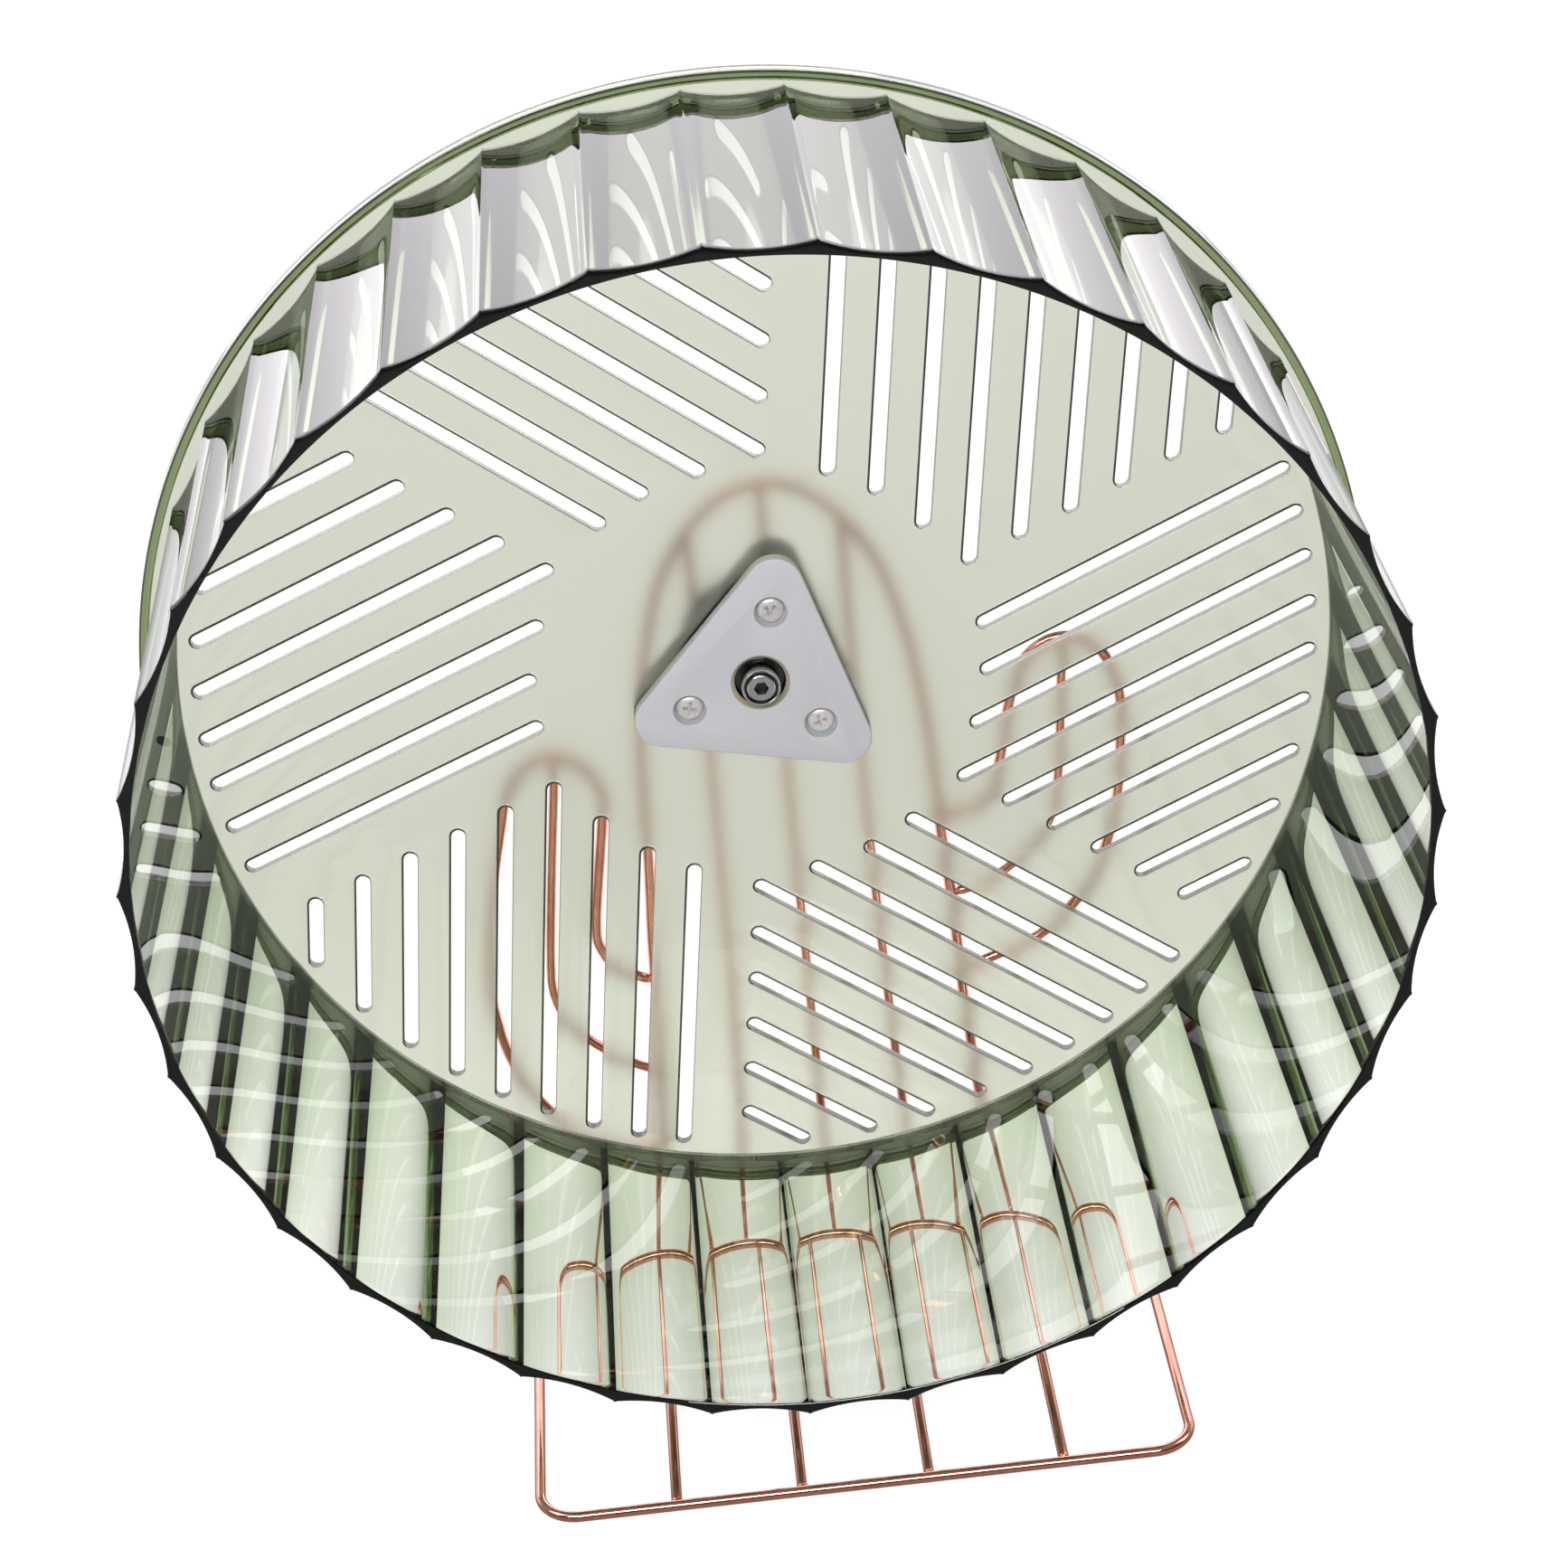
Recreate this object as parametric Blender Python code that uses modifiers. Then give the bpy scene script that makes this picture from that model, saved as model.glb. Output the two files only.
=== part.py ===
"""Hamster exercise wheel on a cactus-shaped wire stand.

A fluted clear drum sits on a slotted disc, whose hub turns on a ball bearing. The bearing rides on
an axle that is welded to the back of a stand bent from copper-coloured wire. The wheel's open side
faces -Y and Z is up, with the floor at zero. Lengths are in metres.
"""

import math

import bmesh
import bpy
from mathutils import Vector

MM = 0.001

# Clearances
FACE_GAP = 0.3 * MM
FIT_GAP = 0.15 * MM
OVERRUN = 1.0 * MM
MERGE_DISTANCE = 0.01 * MM

# Wheel: the drum, and the disc at its back
WHEEL_DIAMETER = 259.0 * MM
DRUM_DEPTH = 88.0 * MM
RIM_OVERHANG = 3.9 * MM
RIM_WIDTH = 2.4 * MM
FLUTE_DEPTH = 1.7 * MM
DRUM_WALL_FRONT = 1.45 * MM
DRUM_WALL_BACK = 2.6 * MM
FLUTES = 39
FLUTE_STEPS = 6
FLUTE_TURN = math.radians(-0.65)
DISC_THICKNESS = 2.2 * MM
DISC_DISH = 2.8 * MM
DISH_STEPS = 3
RIM_RAISE = 0.4 * MM
RIM_DEPTH = 3.6 * MM

# Slots: six groups of parallel slots, each group turned a sixth of a circle from the last. Their
# spacing and the plain middle are shares of the slotted circle's radius
SLOT_GROUPS = 6
SLOTS_PER_GROUP = 9
SLOT_WIDTH = 3.3 * MM
SLOT_PITCH_SHARE = 0.08597
SLOT_FIRST_SHARE = 0.1023
SLOT_HUB_SHARE = 0.3973
SLOT_BORDER = 3.0 * MM
SLOT_GROUP_MARGIN = 1.2 * MM
SLOT_TURN = math.radians(-7.67)
SLOT_END_STEPS = 3

# Hub: the triangular block behind the disc and the cover in front of it
HUB_INRADIUS = 17.1 * MM
HUB_CORNER_RADIUS = 6.0 * MM
HUB_CORNER_STEPS = 6
HUB_BLOCK_DEPTH = 9.4 * MM
HUB_COVER_THICKNESS = 3.1 * MM
HUB_COVER_HOLE_RADIUS = 6.4 * MM
HUB_SHAFT_HOLE_RADIUS = 7.5 * MM
HUB_TURN = math.radians(-12.8)

# Cover screws
SCREW_CIRCLE_RADIUS = 16.1 * MM
SCREW_RECESS_RADIUS = 3.5 * MM
SCREW_RECESS_DEPTH = 1.7 * MM
SCREW_HEAD_RADIUS = 3.0 * MM
SCREW_HEAD_HEIGHT = 1.3 * MM
SCREW_SHANK_RADIUS = 1.3 * MM
SCREW_SHANK_LENGTH = 6.5 * MM
SCREW_CROSS_LENGTH = 3.4 * MM
SCREW_CROSS_WIDTH = 0.8 * MM
SCREW_CROSS_DEPTH = 0.7 * MM
SCREW_CROWN = 0.4 * MM
SCREW_CROSS_TURNS = (math.radians(45), math.radians(102), math.radians(159))

# Ball bearing: eight by twenty-two by seven
BEARING_BORE_RADIUS = 4.0 * MM
BEARING_OUTER_RADIUS = 11.0 * MM
BEARING_WIDTH = 7.0 * MM
BEARING_INNER_RING_RADIUS = 6.05 * MM
BEARING_OUTER_RING_BORE = 9.05 * MM
BEARING_SETBACK = 0.5 * MM
BALL_RADIUS = 1.98 * MM
BALL_COUNT = 7
CAGE_WALL = 0.4 * MM
CAGE_HALF_WIDTH = 0.8 * MM
CAGE_LIP = 1.0 * MM
SHIELD_THICKNESS = 0.4 * MM
SHIELD_INSET = 0.3 * MM

# Axle: a stepped shaft welded to a round plate, closed by a screw and its washer
AXLE_COLLAR_RADIUS = 5.5 * MM
AXLE_THREAD_RADIUS = 2.0 * MM
AXLE_THREAD_DEPTH = 11.0 * MM
PLATE_SETBACK = 18.1 * MM
PLATE_RADIUS = 16.1 * MM
PLATE_THICKNESS = 2.0 * MM
WASHER_RADIUS = 5.15 * MM
WASHER_THICKNESS = 0.8 * MM
END_SCREW_HEAD_RADIUS = 4.1 * MM
END_SCREW_HEAD_HEIGHT = 5.1 * MM
END_SCREW_LENGTH = 9.0 * MM
END_SCREW_RIM = 0.55 * MM
END_SCREW_GROOVE = 0.55 * MM
END_SCREW_GROOVE_DEPTH = 0.7 * MM
HEX_ACROSS_CORNERS = 3.3 * MM
HEX_DEPTH = 2.2 * MM

# Stand wires
FRAME_WIRE_RADIUS = 1.25 * MM
THIN_WIRE_RADIUS = 1.1 * MM
WIRE_STEP = 4.0 * MM
UPRIGHT_STEP = 16.0 * MM
WIRE_SIDES = 8
STAND_OFFSET = 4.2 * MM
FLOOR_CLEARANCE = 26.2 * MM
LEG_CLEARANCE = 0.4 * MM

# Base: a closed frame on the floor with four wires across it, placed in shares of its half width
BASE_HALF_WIDTH = 69.6 * MM
BASE_REACH = 75.4 * MM
BASE_CORNER_RADIUS = 8.5 * MM
BASE_CORNER_STEPS = 6
OUTER_CROSS_SHARES = (-0.584, 0.599)
INNER_CROSS_SHARES = (-0.201, 0.187)

# Trunk: an arch, and three uprights inside it
ARCH_RISE = 35.1 * MM
ARCH_FOOT_HALF_WIDTH = 40.6 * MM
UPRIGHT_TOP_HALF_SPACING = 16.4 * MM
UPRIGHT_FOOT_HALF_SPACING = 20.4 * MM
UPRIGHT_BEND_SHARE = 0.66
UPRIGHT_KNEE_SHARE = 0.667
ARCH_LEG_SHARES = (
    (0.951, 0.082), (0.909, 0.164), (0.879, 0.25), (0.855, 0.328), (0.837, 0.433), (0.803, 0.545),
    (0.778, 0.669), (0.744, 0.737), (0.7, 0.8), (0.599, 0.8805), (0.5, 0.921), (0.405, 0.9505),
    (0.28, 0.9775), (0.14, 0.9945),
)

# Arms: each is an outer loop with one wire inside it. Its shares run from the trunk's foot out to the
# reach, and from the arm's foot up through its rise
LEFT_ARM_REACH = 71.4 * MM
LEFT_ARM_FOOT = 28.7 * MM
LEFT_ARM_RISE = 103.5 * MM
LEFT_LOOP_SHARES = (
    (0.212, 0.012), (0.52, 0.059), (0.706, 0.124), (0.838, 0.193), (0.94, 0.28), (0.984, 0.36), (1.0, 0.46),
    (0.921, 0.639), (0.757, 0.845), (0.675, 0.926), (0.52, 0.984), (0.335, 1.0), (0.135, 0.97),
    (0.015, 0.905), (0.036, 0.831), (0.172, 0.585), (0.159, 0.515), (0.066, 0.469), (-0.09, 0.439),
)
LEFT_LOOP_FOOT_SHARE = 0.0
LEFT_LOOP_END_SHARE = 0.421
LEFT_INNER_SHARES = (
    (0.342, 0.935), (0.444, 0.72), (0.532, 0.516), (0.548, 0.42), (0.471, 0.348), (0.295, 0.28),
    (0.003, 0.215),
)
LEFT_INNER_END_SHARE = 0.195
RIGHT_ARM_REACH = 74.0 * MM
RIGHT_ARM_FOOT = 66.7 * MM
RIGHT_ARM_RISE = 80.4 * MM
RIGHT_LOOP_SHARES = (
    (0.047, 0.03), (0.371, 0.083), (0.597, 0.164), (0.747, 0.245), (0.865, 0.357), (0.956, 0.517),
    (0.989, 0.663), (1.0, 0.808), (0.92, 0.925), (0.801, 0.983), (0.65, 1.0), (0.501, 0.985), (0.369, 0.93),
    (0.267, 0.81), (0.191, 0.658), (0.116, 0.561), (-0.008, 0.515),
)
RIGHT_LOOP_FOOT_SHARE = 0.0
RIGHT_LOOP_END_SHARE = 0.511
RIGHT_INNER_SHARES = (
    (0.641, 0.94), (0.623, 0.877), (0.599, 0.735), (0.566, 0.586), (0.51, 0.466), (0.391, 0.388),
    (0.174, 0.305), (-0.041, 0.262),
)
RIGHT_INNER_END_SHARE = 0.25

# How finely round pieces are faceted
DISC_SIDES = 78
ROUND_SIDES = 32
SMALL_SIDES = 16
SMOOTH_ANGLE = math.radians(30)
FLAT_ANGLE = math.radians(0.05)
BALL_SEGMENTS = 12
BALL_RINGS = 8
GROOVE_STEPS = 5

# Sizes that follow from the ones above
RIM_RADIUS = WHEEL_DIAMETER / 2
CUSP_RADIUS = RIM_RADIUS - RIM_OVERHANG
TROUGH_RADIUS = CUSP_RADIUS - FLUTE_DEPTH
DRUM_FRONT_BORE = TROUGH_RADIUS - DRUM_WALL_FRONT
DRUM_BACK_BORE = TROUGH_RADIUS - DRUM_WALL_BACK
RIM_BORE = RIM_RADIUS - RIM_WIDTH
DRUM_FOOT = DISC_DISH - FACE_GAP
AXLE_HEIGHT = RIM_RADIUS + FLOOR_CLEARANCE
BEARING_FRONT = -BEARING_SETBACK
BEARING_BACK = BEARING_FRONT - BEARING_WIDTH
BEARING_MIDDLE = BEARING_FRONT - BEARING_WIDTH / 2
BALL_CIRCLE_RADIUS = (BEARING_INNER_RING_RADIUS + BEARING_OUTER_RING_BORE) / 2
POCKET_RADIUS = BEARING_OUTER_RADIUS + FACE_GAP
WIRE_PLANE = PLATE_SETBACK + PLATE_THICKNESS + FACE_GAP + THIN_WIRE_RADIUS
FRAME_HEIGHT = FRAME_WIRE_RADIUS * math.cos(math.pi / WIRE_SIDES)
REAR_BAR_SETBACK = WIRE_PLANE - 2 * FRAME_WIRE_RADIUS - FACE_GAP
APEX_HEIGHT = AXLE_HEIGHT + ARCH_RISE
FRONT_REACH = max(DRUM_DEPTH, BASE_REACH + FRAME_WIRE_RADIUS)
BACK_REACH = WIRE_PLANE + FRAME_WIRE_RADIUS
DISC_FACE_Y = (FRONT_REACH - BACK_REACH) / 2

PARTS = None
CUTTERS = None
MATERIALS = {}


def clear_scene():
    for old in list(bpy.data.objects):
        bpy.data.objects.remove(old, do_unlink=True)


def make_collections():
    global PARTS, CUTTERS
    PARTS = bpy.data.collections.new("hamster_exercise_wheel")
    CUTTERS = bpy.data.collections.new("cutters")
    for collection in (PARTS, CUTTERS):
        bpy.context.scene.collection.children.link(collection)


def make_material(name, colour, roughness, metallic=0.0, transmission=0.0):
    material = bpy.data.materials.new(name)
    material.use_nodes = True
    shader = material.node_tree.nodes["Principled BSDF"]
    shader.inputs["Base Color"].default_value = (*colour, 1.0)
    shader.inputs["Roughness"].default_value = roughness
    shader.inputs["Metallic"].default_value = metallic
    shader.inputs["Transmission Weight"].default_value = transmission
    MATERIALS[name] = material


def make_materials():
    make_material("clear_green_plastic", (0.45, 0.6, 0.36), 0.05, transmission=0.9)
    make_material("frosted_green_plastic", (0.55, 0.62, 0.44), 0.35, transmission=0.6)
    make_material("frosted_white_plastic", (0.6, 0.6, 0.65), 0.4)
    make_material("copper_plated_wire", (0.8, 0.42, 0.3), 0.18, metallic=1.0)
    make_material("polished_steel", (0.62, 0.63, 0.64), 0.15, metallic=1.0)
    make_material("bearing_steel", (0.5, 0.51, 0.52), 0.25, metallic=1.0)
    make_material("nylon", (0.75, 0.72, 0.62), 0.5)


def finish_piece(piece, material, parent):
    """Gives the piece its material, its collection and the empty that carries it."""
    if not piece.users_collection:
        PARTS.objects.link(piece)
    piece.data.materials.clear()
    piece.data.materials.append(MATERIALS[material])
    piece.parent = parent
    if piece.type == "MESH":
        piece.data.shade_smooth()
        piece.data.set_sharp_from_angle(angle=SMOOTH_ANGLE)
    return piece


def make_cutter(piece):
    if not piece.users_collection:
        CUTTERS.objects.link(piece)
    piece.hide_render = True
    piece.display_type = "WIRE"
    return piece


def empty(name, location, rotation=(0, 0, 0), parent=None):
    carrier = bpy.data.objects.new(name, None)
    carrier.location = location
    carrier.rotation_euler = rotation
    carrier.parent = parent
    PARTS.objects.link(carrier)
    return carrier


def boolean(piece, other, operation):
    modifier = piece.modifiers.new(operation.lower() + "_" + other.name, "BOOLEAN")
    modifier.operation = operation
    modifier.object = other
    modifier.solver = "EXACT"


def turned(name, profile, closed, sides=ROUND_SIDES):
    """A profile of (radius, height) points turned about Z. Its outer side runs from top to bottom."""
    mesh = bpy.data.meshes.new(name)
    points = [(radius, 0, height) for radius, height in profile]
    edges = [(i, i + 1) for i in range(len(points) - 1)]
    if closed:
        edges.append((len(points) - 1, 0))
    mesh.from_pydata(points, edges, [])
    piece = bpy.data.objects.new(name, mesh)
    screw = piece.modifiers.new("turn", "SCREW")
    screw.axis = "Z"
    screw.angle = math.tau
    screw.steps = sides
    screw.render_steps = sides
    screw.use_merge_vertices = True
    screw.merge_threshold = MERGE_DISTANCE
    screw.use_smooth_shade = True
    return piece


def ring(name, inner, outer, bottom, top, sides=ROUND_SIDES):
    profile = [(outer, top), (outer, bottom), (inner, bottom), (inner, top)]
    return turned(name, profile, closed=True, sides=sides)


def rod(name, radius, bottom, top, sides=ROUND_SIDES):
    profile = [(0, top), (radius, top), (radius, bottom), (0, bottom)]
    return turned(name, profile, closed=False, sides=sides)


def extruded(name, outlines, bottom, top):
    """Flat closed outlines drawn in XY and extruded from bottom to top, as one mesh."""
    curve = bpy.data.curves.new(name + "_outline", "CURVE")
    curve.dimensions = "2D"
    curve.fill_mode = "BOTH"
    curve.extrude = (top - bottom) / 2
    for outline in outlines:
        spline = curve.splines.new("POLY")
        spline.points.add(len(outline) - 1)
        for point, (x, y) in zip(spline.points, outline):
            point.co = (x, y, 0, 1)
        spline.use_cyclic_u = True
    drawing = bpy.data.objects.new(name + "_outline", curve)
    CUTTERS.objects.link(drawing)
    bpy.context.view_layer.update()
    graph = bpy.context.evaluated_depsgraph_get()
    mesh = bpy.data.meshes.new_from_object(drawing.evaluated_get(graph))
    bpy.data.objects.remove(drawing, do_unlink=True)
    mesh.name = name
    work = bmesh.new()
    work.from_mesh(mesh)
    bmesh.ops.remove_doubles(work, verts=work.verts, dist=MERGE_DISTANCE)
    bmesh.ops.translate(work, verts=work.verts, vec=(0, 0, (top + bottom) / 2))
    bmesh.ops.dissolve_limit(work, angle_limit=FLAT_ANGLE, verts=work.verts, edges=work.edges)
    bmesh.ops.recalc_face_normals(work, faces=work.faces)
    work.to_mesh(mesh)
    work.free()
    return bpy.data.objects.new(name, mesh)


def arc(centre, radius, start, end, steps):
    """Points along an arc, both ends included, as (x, y) pairs."""
    found = []
    for i in range(steps + 1):
        angle = start + (end - start) * i / steps
        found.append((centre[0] + radius * math.cos(angle), centre[1] + radius * math.sin(angle)))
    return found


def smooth_route(points, step):
    """Points close together on a smooth curve through the route's own points."""
    last = len(points) - 1
    found = []
    for i in range(last):
        before, here, there, after = (points[min(max(i + k - 1, 0), last)] for k in range(4))
        pieces = max(1, round((there - here).length / step))
        for k in range(pieces):
            t = k / pieces
            pull = -before * (t - 2 * t**2 + t**3) + here * (2 - 5 * t**2 + 3 * t**3)
            push = there * (t + 4 * t**2 - 3 * t**3) + after * (t**3 - t**2)
            found.append((pull + push) / 2)
    found.append(points[-1])
    return found


def wire(name, points, radius, parent, cyclic=False, flat=False):
    """A bent wire along the points. One that lies flat has a facet below, to rest on."""
    curve = bpy.data.curves.new(name, "CURVE")
    curve.dimensions = "3D"
    curve.twist_mode = "Z_UP" if flat else "MINIMUM"
    curve.bevel_depth = radius
    curve.bevel_resolution = WIRE_SIDES // 2 - 2
    curve.use_fill_caps = True
    spline = curve.splines.new("POLY")
    spline.points.add(len(points) - 1)
    for place, point in zip(spline.points, points):
        place.co = (*point, 1)
        place.tilt = math.pi / WIRE_SIDES if flat else 0
    spline.use_cyclic_u = cyclic
    spline.use_smooth = True
    piece = bpy.data.objects.new(name, curve)
    return finish_piece(piece, "copper_plated_wire", parent)


def flute_outline():
    """The drum's outside: ridges joined by shallow hollows."""
    pitch = math.tau / FLUTES
    half_chord = CUSP_RADIUS * math.sin(pitch / 2)
    sag = CUSP_RADIUS * math.cos(pitch / 2) - TROUGH_RADIUS
    hollow_radius = (half_chord**2 + sag**2) / (2 * sag)
    hollow_centre = TROUGH_RADIUS + hollow_radius
    half_angle = math.asin(half_chord / hollow_radius)
    outline = []
    for i in range(FLUTES):
        middle = FLUTE_TURN + pitch * (i + 0.5)
        for k in range(FLUTE_STEPS):
            swing = half_angle * (2 * k / FLUTE_STEPS - 1)
            radial = hollow_centre - hollow_radius * math.cos(swing)
            across = hollow_radius * math.sin(swing)
            outline.append((
                radial * math.cos(middle) - across * math.sin(middle),
                radial * math.sin(middle) + across * math.cos(middle),
            ))
    return outline


def build_drum(parent):
    drum = extruded("running_drum", [flute_outline()], -DRUM_FOOT, DRUM_DEPTH)
    flare = (DRUM_FRONT_BORE - DRUM_BACK_BORE) / (DRUM_DEPTH + DRUM_FOOT)
    top, bottom = DRUM_DEPTH + OVERRUN, -DRUM_FOOT - OVERRUN
    top_bore = DRUM_FRONT_BORE + flare * OVERRUN
    bottom_bore = DRUM_BACK_BORE - flare * OVERRUN
    profile = [(0, top), (top_bore, top), (bottom_bore, bottom), (0, bottom)]
    bore = make_cutter(turned("drum_bore", profile, closed=False, sides=DISC_SIDES))
    bore.parent = parent
    boolean(drum, bore, "DIFFERENCE")
    finish_piece(drum, "clear_green_plastic", parent)


def slot_outline(offset, low, high, turn):
    """One slot with round ends, from low to high at this sideways offset, then turned about the hub."""
    half = SLOT_WIDTH / 2
    points = arc((offset, high - half), half, 0, math.pi, SLOT_END_STEPS)
    points += arc((offset, low + half), half, math.pi, math.tau, SLOT_END_STEPS)
    cos, sin = math.cos(turn), math.sin(turn)
    return [(x * cos - y * sin, x * sin + y * cos) for x, y in points]


def slot_outlines():
    """Each group lies beside a line a twelfth of a turn from it, and keeps clear of the hub."""
    ring_radius = DRUM_BACK_BORE - SLOT_BORDER
    hub_radius = SLOT_HUB_SHARE * ring_radius
    lean = math.pi / SLOT_GROUPS
    outlines = []
    for group in range(SLOT_GROUPS):
        turn = SLOT_TURN + group * math.tau / SLOT_GROUPS
        for i in range(SLOTS_PER_GROUP):
            offset = (SLOT_FIRST_SHARE + i * SLOT_PITCH_SHARE) * ring_radius
            high = math.sqrt(max(ring_radius**2 - offset**2, 0))
            beside_group = offset * math.tan(lean) + SLOT_GROUP_MARGIN / math.cos(lean)
            beside_hub = math.sqrt(max(hub_radius**2 - offset**2, 0))
            low = max(beside_group, beside_hub)
            if high - low > 2 * SLOT_WIDTH:
                outlines.append(slot_outline(offset, low, high, turn))
    return outlines


def hub_outline():
    """A triangle with round corners, one of them up before the hub's own turn."""
    corner_distance = 2 * (HUB_INRADIUS - HUB_CORNER_RADIUS)
    third = math.tau / 3
    outline = []
    for corner in range(3):
        middle = math.pi / 2 + HUB_TURN + corner * third
        centre = (corner_distance * math.cos(middle), corner_distance * math.sin(middle))
        outline += arc(centre, HUB_CORNER_RADIUS, middle - third / 2, middle + third / 2, HUB_CORNER_STEPS)
    return outline


def screw_places():
    places = []
    for corner in range(3):
        angle = math.pi / 2 + HUB_TURN + corner * math.tau / 3
        places.append((SCREW_CIRCLE_RADIUS * math.cos(angle), SCREW_CIRCLE_RADIUS * math.sin(angle)))
    return places


def round_cutter(name, radius, bottom, top, parent, place=(0, 0)):
    cutter = make_cutter(rod(name, radius, bottom, top, sides=SMALL_SIDES if any(place) else ROUND_SIDES))
    cutter.location = (*place, 0)
    cutter.parent = parent
    return cutter


def build_disc(parent):
    """The disc is dished: its middle stands in front of its edge, which ends in a raised rim."""
    dish = [(CUSP_RADIUS * i / DISH_STEPS, -DISC_DISH * (i / DISH_STEPS) ** 2) for i in range(DISH_STEPS + 1)]
    rim_front = RIM_RAISE - DISC_DISH
    rim_back = rim_front - RIM_DEPTH
    profile = [*dish, (RIM_BORE, -DISC_DISH), (RIM_BORE, rim_front), (RIM_RADIUS, rim_front)]
    profile += [(RIM_RADIUS, rim_back), (RIM_BORE, rim_back), (RIM_BORE, -DISC_DISH - DISC_THICKNESS)]
    profile += [(radius, height - DISC_THICKNESS) for radius, height in dish[::-1]]
    disc = turned("slotted_disc", profile, closed=False, sides=DISC_SIDES)
    block = extruded("hub_block", [hub_outline()], -HUB_BLOCK_DEPTH, -DISC_THICKNESS / 2)
    make_cutter(block)
    block.parent = parent
    boolean(disc, block, "UNION")
    slots = make_cutter(extruded("slot_cutters", slot_outlines(), -HUB_BLOCK_DEPTH, OVERRUN))
    slots.parent = parent
    boolean(disc, slots, "DIFFERENCE")
    pocket_floor = BEARING_BACK - FACE_GAP
    pocket = round_cutter("bearing_pocket", POCKET_RADIUS, pocket_floor, OVERRUN, parent)
    boolean(disc, pocket, "DIFFERENCE")
    shaft_low = -HUB_BLOCK_DEPTH - OVERRUN
    shaft_hole = round_cutter("shaft_hole", HUB_SHAFT_HOLE_RADIUS, shaft_low, OVERRUN, parent)
    boolean(disc, shaft_hole, "DIFFERENCE")
    head_seat = HUB_COVER_THICKNESS - SCREW_RECESS_DEPTH
    pilot_low = head_seat - SCREW_SHANK_LENGTH - FACE_GAP
    for i, place in enumerate(screw_places()):
        name = f"pilot_hole_{i + 1}"
        pilot = round_cutter(name, SCREW_SHANK_RADIUS + FIT_GAP, pilot_low, OVERRUN, parent, place)
        boolean(disc, pilot, "DIFFERENCE")
    finish_piece(disc, "frosted_green_plastic", parent)


def build_cover(parent):
    top = HUB_COVER_THICKNESS
    cover = extruded("hub_cover", [hub_outline()], FACE_GAP, top)
    hole = round_cutter("cover_hole", HUB_COVER_HOLE_RADIUS, -OVERRUN, top + OVERRUN, parent)
    boolean(cover, hole, "DIFFERENCE")
    for i, place in enumerate(screw_places()):
        recess_low = top - SCREW_RECESS_DEPTH
        name = f"screw_recess_{i + 1}"
        recess = round_cutter(name, SCREW_RECESS_RADIUS, recess_low, top + OVERRUN, parent, place)
        boolean(cover, recess, "DIFFERENCE")
        name = f"screw_hole_{i + 1}"
        passage = round_cutter(name, SCREW_SHANK_RADIUS + FACE_GAP, -OVERRUN, top + OVERRUN, parent, place)
        boolean(cover, passage, "DIFFERENCE")
    finish_piece(cover, "frosted_white_plastic", parent)


def box_cutter(name, size, centre, parent, turn=0):
    mesh = bpy.data.meshes.new(name)
    work = bmesh.new()
    bmesh.ops.create_cube(work, size=1)
    bmesh.ops.scale(work, vec=size, verts=work.verts)
    work.to_mesh(mesh)
    work.free()
    cutter = make_cutter(bpy.data.objects.new(name, mesh))
    cutter.location = centre
    cutter.rotation_euler = (0, 0, turn)
    cutter.parent = parent
    return cutter


def build_cover_screws(parent):
    """Cross-head screws sunk in the cover."""
    seat = HUB_COVER_THICKNESS - SCREW_RECESS_DEPTH + FIT_GAP
    top = seat + SCREW_HEAD_HEIGHT
    tip = seat - SCREW_SHANK_LENGTH
    profile = [
        (0, top), (SCREW_HEAD_RADIUS - SCREW_CROWN, top), (SCREW_HEAD_RADIUS, top - SCREW_CROWN),
        (SCREW_HEAD_RADIUS, seat), (SCREW_SHANK_RADIUS, seat), (SCREW_SHANK_RADIUS, tip), (0, tip),
    ]
    for i, place in enumerate(screw_places()):
        number = i + 1
        screw = turned(f"cover_screw_{number}", profile, closed=False, sides=SMALL_SIDES)
        screw.location = (*place, 0)
        cross_middle = top + OVERRUN / 2 - SCREW_CROSS_DEPTH / 2
        size = (SCREW_CROSS_LENGTH, SCREW_CROSS_WIDTH, SCREW_CROSS_DEPTH + OVERRUN)
        for k, arm in enumerate(("along", "across")):
            turn = SCREW_CROSS_TURNS[i] + k * math.pi / 2
            centre = (*place, cross_middle)
            cutter = box_cutter(f"screw_cross_{number}_{arm}", size, centre, parent, turn)
            boolean(screw, cutter, "DIFFERENCE")
        finish_piece(screw, "polished_steel", parent)


def groove(centre_radius, facing, edge_radius):
    """The ball track of a ring, from its top to its bottom, as a profile that faces the balls."""
    track = BALL_RADIUS + FIT_GAP
    reach = abs(centre_radius - edge_radius)
    half_angle = math.acos(reach / track)
    found = []
    for i in range(GROOVE_STEPS + 1):
        angle = half_angle - 2 * half_angle * i / GROOVE_STEPS
        radius = centre_radius + facing * track * math.cos(angle)
        found.append((radius, BEARING_MIDDLE + track * math.sin(angle)))
    return found


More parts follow.
